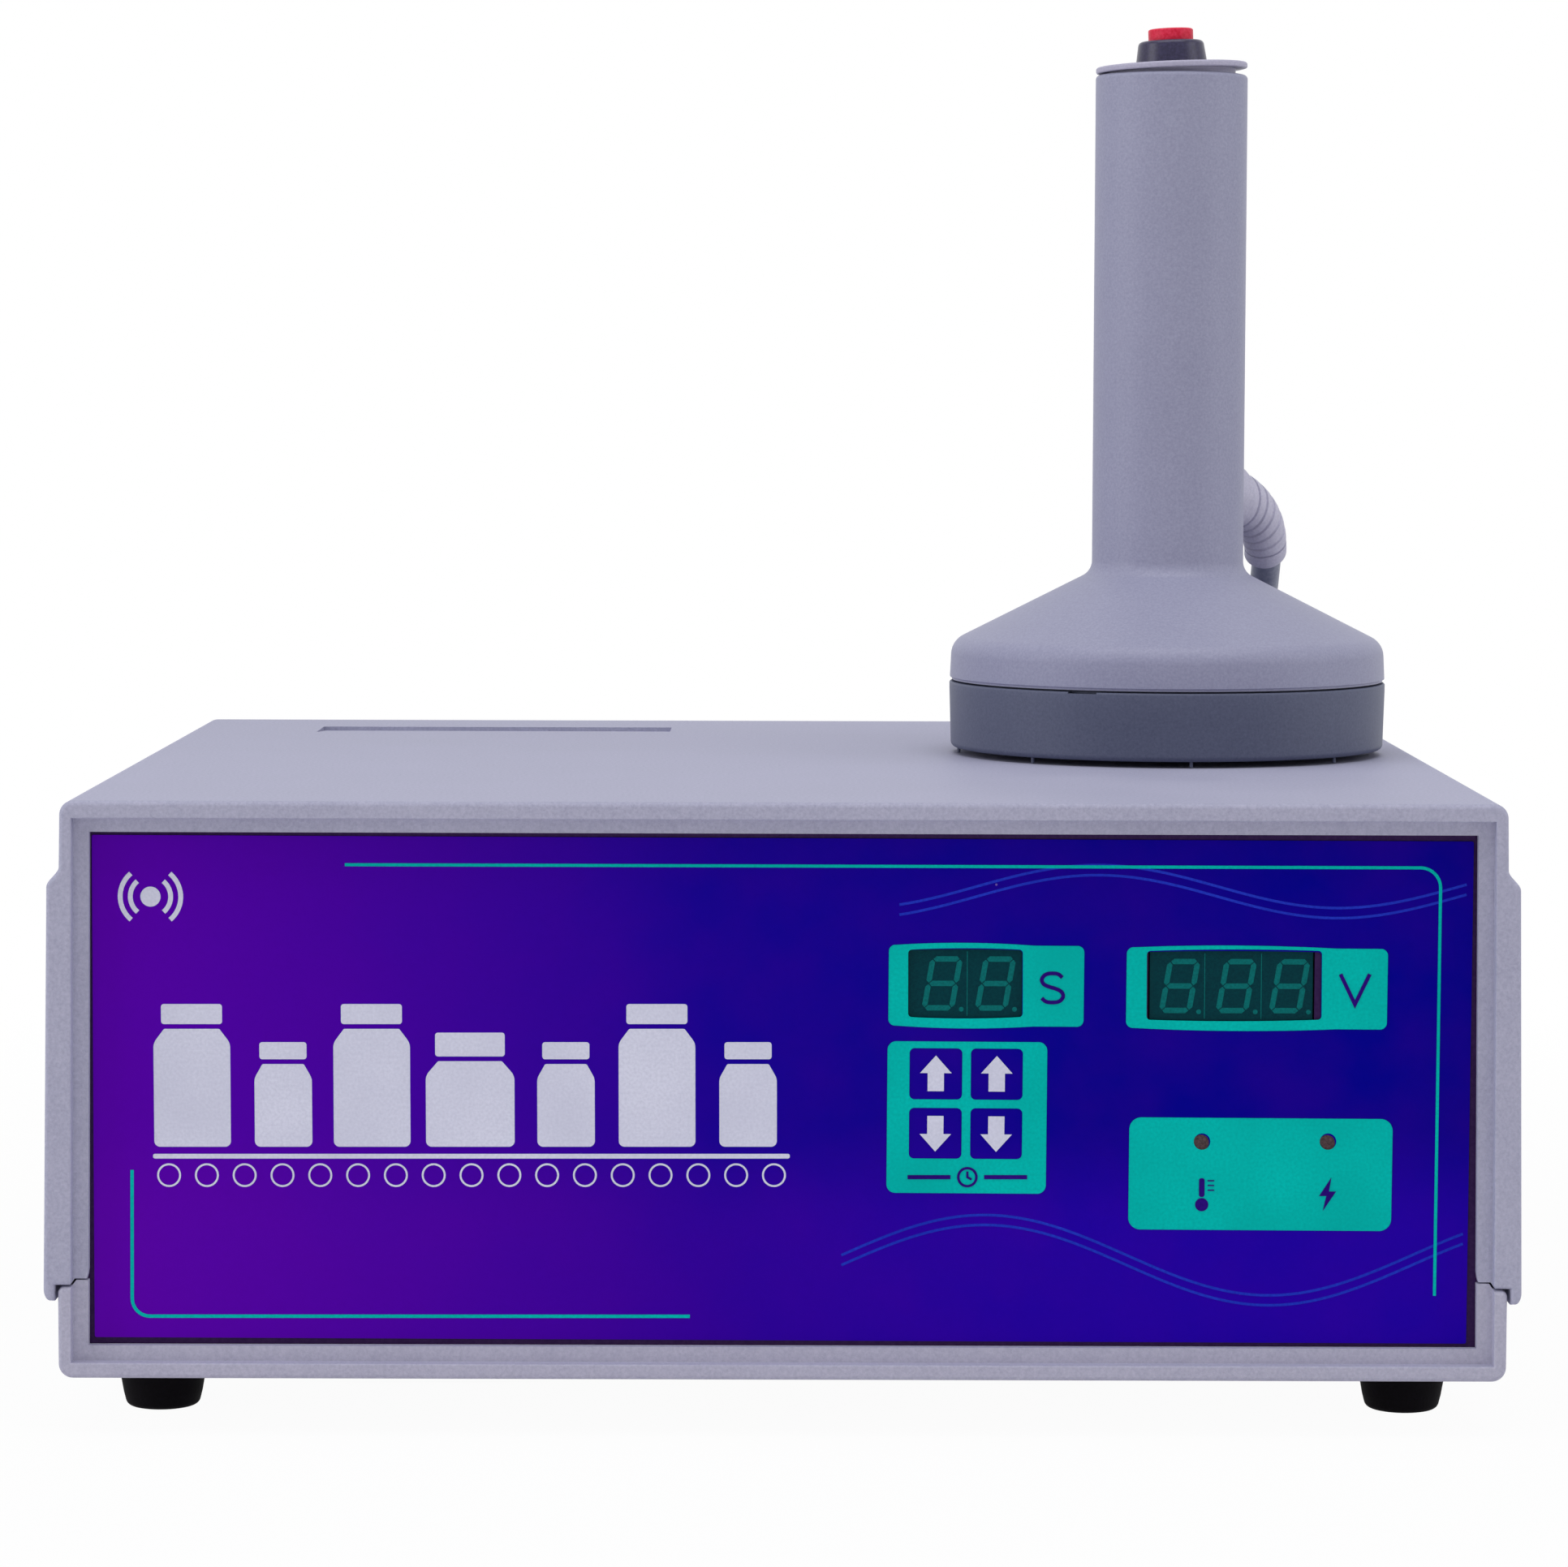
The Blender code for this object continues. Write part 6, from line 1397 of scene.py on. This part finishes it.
def make_boot():
    """A moulded sleeve: a collar on the tube, ribs that get slimmer along the bend, and a plain cuff."""
    start = at_head(0, 0, BOOT_Z) + BOOT_OUTWARD * (TUBE_RADIUS - HEAD_WALL)
    end = at_head(*BOOT_END) + Vector(BOOT_END_SHIFT)
    first = start + BOOT_OUTWARD * BOOT_HANDLES[0]
    second = end - BOOT_DOWNWARD * BOOT_HANDLES[1]
    samples = 520
    line = []
    for t in (i / samples for i in range(samples + 1)):
        line.append(start * (1 - t) ** 3 + first * 3 * t * (1 - t) ** 2 + second * 3 * t * t * (1 - t) + end * t**3)
    lengths = distances(line)
    round_start = lengths[-1] - BOOT_CUFF_ROUND
    ribs_start = BOOT_COLLAR_LENGTH + HEAD_WALL
    cuff = lengths[-1] - BOOT_CUFF_LENGTH
    rib = (cuff - ribs_start) / BOOT_RIBS
    outward = (line[1] - line[0]).normalized()
    side = Vector((0, 0, 1)).cross(outward).normalized()
    angles = [2 * math.pi * k / 48 for k in range(48)]
    rings = []
    for i, (point, along) in enumerate(zip(line, lengths)):
        share = min(1.0, max(0.0, (along - ribs_start) / (cuff - ribs_start)))
        radius = BOOT_RIB_RADIUS + (BOOT_END_RADIUS - BOOT_RIB_RADIUS) * share
        if along <= ribs_start:
            radius = BOOT_COLLAR_RADIUS
        elif along < cuff:
            away = abs((along - ribs_start + rib / 2) % rib - rib / 2) / BOOT_GROOVE_HALF_WIDTH
            radius -= BOOT_GROOVE * (max(0.0, 1 - away * away) ** 0.6 + 0.15 * max(0.0, 2 - away) / 2)
        if along > round_start:
            edge = math.sqrt(max(0.0, BOOT_CUFF_ROUND**2 - (along - round_start) ** 2))
            radius = BOOT_END_RADIUS - BOOT_CUFF_ROUND + edge
        # The ribs turn a little later than the centre line
        ahead = (line[min(i + 1, samples)] - line[max(i - 1, 0)]).normalized()
        ahead = outward.lerp(ahead, 0.1 + 0.75 * share).normalized()
        side = (side - ahead * side.dot(ahead)).normalized()
        up = ahead.cross(side)
        rings.append([point + (side * math.cos(a) + up * math.sin(a)) * radius for a in angles])
    boot = lofted("strain_relief", [rings], BOOT_PVC, 50.0)
    tube_top = at_head(0, 0, BOOT_Z + 2 * BOOT_COLLAR_RADIUS)
    tube = bar(at_head(0, 0, CONE_TOP), tube_top, TUBE_RADIUS + TUBE_DRAFT + GAP, 96)
    combine(boot, [tube], "DIFFERENCE")
    wear(boot, "machine", "head_plastic", "cable_boot")


# Back


def blade(turn, middle_depth):
    """The rings of one fan blade from root to tip: bowed sections, less pitched and longer towards the tip."""
    stack = []
    for share in (k / 8 for k in range(9)):
        radius = FAN_HUB - BLADE_ROOT + (FAN_BORE - FAN_RUN - FAN_HUB + BLADE_ROOT) * share
        pitch = math.radians(BLADE_PITCH - BLADE_TWIST * share)
        sweep = turn + math.radians(BLADE_SWEEP * share * share)
        ring = []
        for side in (-1, 1):
            for m in range(9):
                t = (m / 8 - 0.5) * -side
                u = t * (BLADE_CHORD + BLADE_WIDENING * share)
                v = BLADE_BOW * (1 - 4 * t * t) + side * BLADE_HALF * (1 - 3.4 * t * t)
                angle = sweep + (u * math.cos(pitch) - v * math.sin(pitch)) / radius
                depth = middle_depth + u * math.sin(pitch) + v * math.cos(pitch)
                ring.append(at_case(FAN_X + radius * math.cos(angle), depth, FAN_Z + radius * math.sin(angle)))
        stack.append(ring)
    return stack


def make_fan():
    front = REAR_INSIDE - GAP - FAN_DEPTH
    outlines = [rectangle(grown((FAN_X, FAN_X, FAN_Z, FAN_Z), FAN_SIDE / 2), FAN_CORNER)]
    outlines.append(circle(FAN_X, FAN_Z, FAN_BORE, 96))
    for x in (-FAN_SCREW_PLACE, FAN_SCREW_PLACE):
        for z in (-FAN_SCREW_PLACE, FAN_SCREW_PLACE):
            outlines.append(circle(FAN_X + x, FAN_Z + z, FAN_SCREW_RADIUS, 24))
    housing = across("fan_housing", outlines, front, front + FAN_DEPTH, MATT_BLACK)
    centre = at_case(FAN_X, front, FAN_Z)
    parts = [bar(centre, at_case(FAN_X, front + FAN_PLATE, FAN_Z), FAN_HUB, 64)]
    middle = at_case(FAN_X, front + FAN_PLATE / 2, FAN_Z)
    for i in range(3):
        spoke = Matrix.Rotation(math.radians(90 + 120 * i), 4, "Y") @ Vector((1, 0, 0))
        parts.append(bar(middle + spoke * FAN_HUB / 2, middle + spoke * (FAN_BORE + FAN_STRUT), FAN_PLATE * 0.45, 16))
    combine(housing, parts, "UNION")
    wear(housing, "machine", "black_plastic", "fan_frame")

    hub_front = front + FAN_PLATE + FAN_RUN
    turns = [2 * math.pi * i / BLADE_COUNT for i in range(BLADE_COUNT)]
    blades = [blade(turn, hub_front + FAN_HUB_DEPTH / 2) for turn in turns]
    wear(lofted("fan_blades", blades, MATT_BLACK, 50.0), "fan_rotor_body", "black_plastic")
    bore_end = FAN_HUB_DEPTH / 2 + GAP
    hub = ((0, FAN_HUB_DEPTH, 0), (FAN_HUB, FAN_HUB_DEPTH, 0.002), (FAN_HUB, 0, 0.0003))
    hub += ((FAN_SHAFT_BORE, 0, 0), (FAN_SHAFT_BORE, bore_end, 0), (0, bore_end, 0))
    place = Matrix.Translation(at_case(FAN_X, hub_front, FAN_Z)) @ TURNED_BACK
    fitted("fan_hub", hub, 64, place, MATT_BLACK, "black_plastic", "fan_rotor", body="fan_rotor_body")

    middle = at_case(FAN_X, REAR_FACE + GAP + GUARD_WIRE, FAN_Z)
    wires = []
    for i, radius in enumerate(GUARD_RINGS):
        section = [(radius + x, y) for x, y in circle(0, 0, GUARD_WIRE, 12)][::-1]
        place = Matrix.Translation(middle) @ TURNED_BACK
        wires.append(turned(f"guard_ring_{i + 1}", section, 96, place, STEEL, 60.0))
    middle += Vector((0, GUARD_WIRE * 0.4, 0))
    for i in range(2):
        reach = Matrix.Rotation(math.radians(45 + 90 * i), 4, "Y") @ Vector((GUARD_REACH, 0, 0))
        wires.append(bar(middle - reach, middle + reach, GUARD_WIRE, 12, STEEL, f"guard_wire_{i + 1}"))
    guard = combine(wires[0], wires[1:], "UNION")
    guard.name = "wire_guard"
    wear(guard, "machine", "plated_steel", "fan_guard")


def make_gland():
    face = REAR_FACE + GAP
    mouth = CASE_DEPTH + GLAND_REACH - face
    dome = GLAND_FLATS * 0.48
    corners = (
        (GLAND_MOUTH_RADIUS, mouth, 0),
        (dome * 0.8, mouth - GLAND_MOUTH_RADIUS, GLAND_MOUTH_RADIUS),
        (dome, GLAND_HEX * 1.5, GLAND_MOUTH_RADIUS),
        (dome, GLAND_HEX / 2, 0),
    )
    profile = [(0, mouth), (GLAND_MOUTH_RADIUS - GLAND_LIP, mouth)] + rounded(corners, closed=False)
    profile.append((GLAND_THREAD_RADIUS, GLAND_HEX / 2))
    thread = -0.0020
    while thread > -GLAND_THREAD_LENGTH + GLAND_PITCH:
        profile += [(GLAND_THREAD_RADIUS, thread), (GLAND_THREAD_RADIUS - 0.0005, thread - GLAND_PITCH / 2)]
        thread -= GLAND_PITCH
    profile += [(GLAND_THREAD_RADIUS, -GLAND_THREAD_LENGTH), (0, -GLAND_THREAD_LENGTH)]
    place = Matrix.Translation(at_case(GLAND_X, face, GLAND_Z)) @ TURNED_BACK
    gland = turned("gland_dome", profile, 72, place, MATT_BLACK)
    hexagon = circle(GLAND_X, GLAND_Z, GLAND_FLATS / math.sqrt(3), 6)
    hexed = across("gland_hexagon", [hexagon], face, face + GLAND_HEX, MATT_BLACK)
    combine(gland, [soften(hexed, 0.0004, 2)], "UNION")
    wear(gland, "machine", "black_plastic", "cable_gland")


def softened_node(node, width, segments, material, slot, body="machine"):
    """A finer copy of a boxy solid, with its sharp edges rounded."""
    sheet = bmesh.new()
    sheet.from_mesh(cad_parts[node].data)
    bmesh.ops.remove_doubles(sheet, verts=sheet.verts, dist=1e-6)
    bmesh.ops.dissolve_limit(sheet, angle_limit=0.01, verts=sheet.verts, edges=sheet.edges)
    made = mesh_piece(f"{node}_finished", sheet, material)
    wear(soften(made, width, segments), body, slot, node)


def make_fittings():
    softened_node("rear_panel", 0.0002, 1, REAR_ABS, "black_plastic")
    softened_node("mains_inlet", 0.0004, 2, MATT_BLACK, "black_plastic")
    softened_node("rocker_frame", 0.0003, 2, MATT_BLACK, "black_plastic")
    softened_node("rocker", 0.0003, 2, GLOSS_BLACK, "black_plastic", "rocker_body")
    softened_node("fuse_cap", 0.0003, 2, MATT_BLACK, "black_plastic")
    softened_node("supply_transformer", 0.0008, 2, STEEL, "plated_steel")
    softened_node("resonant_capacitor", 0.0004, 2, SLEEVE, "capacitor_sleeve")
    for i in range(1, 4):
        softened_node(f"inlet_pin_{i}", 0.0004, 2, PLATED_BRASS, "plated_brass")


def finish_nodes():
    """Finishes of the solids whose own shape is right."""
    keys = [f"key_{part}_{i}" for part in ("switch", "stem") for i in range(1, 5)]
    for material, nodes in (
        (PANEL_ABS, ["front_panel"]),
        (MATT_BLACK, keys + ["gland_nut", "fuse_holder"]),
        (SMOKED_EPOXY, ["overheat_lamp", "overcurrent_lamp"]),
        (BOARD, ["control_board", "power_board"]),
        (ALUMINIUM, ["heat_sink"]),
        (COPPER, ["induction_coil"]),
        (FERRITE, ["ferrite_disc"]),
        (SLEEVE, ["bulk_capacitor"]),
        (STEEL, ["switch_nut"]),
    ):
        for node in nodes:
            repaint(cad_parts[node], material)


# Studio


def seen_directly(tree):
    """1 for rays that show a thing straight, in a mirror or through glass, 0 for the light that falls on others."""
    path = add(tree, "LightPath", {}).outputs
    seen = maths(tree, "MAXIMUM", path["Is Camera Ray"], path["Is Glossy Ray"])
    return maths(tree, "MAXIMUM", seen, path["Is Transmission Ray"])


def set_studio():
    """A white floor and background, plain soft light from both sides and above, and a low warm card in front."""
    scene = bpy.context.scene
    scene.view_settings.view_transform = "Standard"
    world = bpy.data.worlds.new("studio")
    scene.world = world
    world.use_nodes = True
    tree = world.node_tree
    tree.nodes.clear()
    soft = add(tree, "Background", {"Color": linear("#F4F4F8"), "Strength": 0.32})
    white = add(tree, "Background", {"Color": (1.0, 1.0, 1.0, 1.0), "Strength": 1.0})
    both = add(tree, "MixShader", {0: seen_directly(tree), 1: soft.outputs[0], 2: white.outputs[0]})
    add(tree, "OutputWorld", {"Surface": both.outputs[0]})

    # The floor turns into plain white away from the machine
    mesh = bpy.data.meshes.new("floor")
    far = FLOOR_HALF
    mesh.from_pydata([(-far, -far, 0), (far, -far, 0), (far, far, 0), (-far, far, 0)], [], [(0, 1, 2, 3)])
    material, tree, where = blank("white_floor", Roughness=0.9, Specular_IOR_Level=0.0)
    shader = tree.nodes["Principled BSDF"]
    shader.inputs["Base Color"].default_value = (0.8, 0.8, 0.8, 1.0)
    reach = add(tree, "VectorMath", {0: where}, operation="LENGTH").outputs["Value"]
    share = maths(tree, "MULTIPLY", seen_directly(tree), span(tree, reach, 0.2, 0.7, 0.96, 1.0, "SMOOTHSTEP"))
    white = add(tree, "Emission", {"Color": (1.0, 1.0, 1.0, 1.0), "Strength": 1.0})
    mixed = add(tree, "MixShader", {0: share, 1: shader.outputs[0], 2: white.outputs[0]})
    tree.links.new(mixed.outputs[0], tree.nodes["Material Output"].inputs["Surface"])
    link(bpy.data.objects.new("floor", mesh), material)

    white, warm = (1.0, 1.0, 1.0), (1.0, 0.93, 0.86)
    for name, place, size, power, colour in (
        ("left_softbox", (-1.5, -0.45, 0.55), (0.8, 1.2), 9.0, white),
        ("right_softbox", (1.5, -0.4, 0.55), (0.8, 1.2), 5.6, white),
        ("top_softbox", (0.0, -0.3, 1.55), (1.6, 0.9), 12.8, white),
        ("front_card", (0.0, -0.62, 0.04), (0.6, 0.07), 0.52, warm),
    ):
        data = bpy.data.lights.new(name, "AREA")
        data.shape = "RECTANGLE"
        data.size, data.size_y = size
        data.energy = power
        data.color = colour
        lamp = bpy.data.objects.new(name, data)
        lamp.location = place
        lamp.rotation_euler = (Vector(LIGHTS_AIM) - lamp.location).to_track_quat("-Z", "Y").to_euler()
        scene.collection.objects.link(lamp)


set_camera()
head_cable()
set_studio()
make_case()
make_feet()
make_film()
make_print()
make_displays()
make_lamps()
make_handle()
make_coil_base()
make_cap_and_switch()
make_boot()
make_fan()
make_gland()
make_fittings()
finish_nodes()
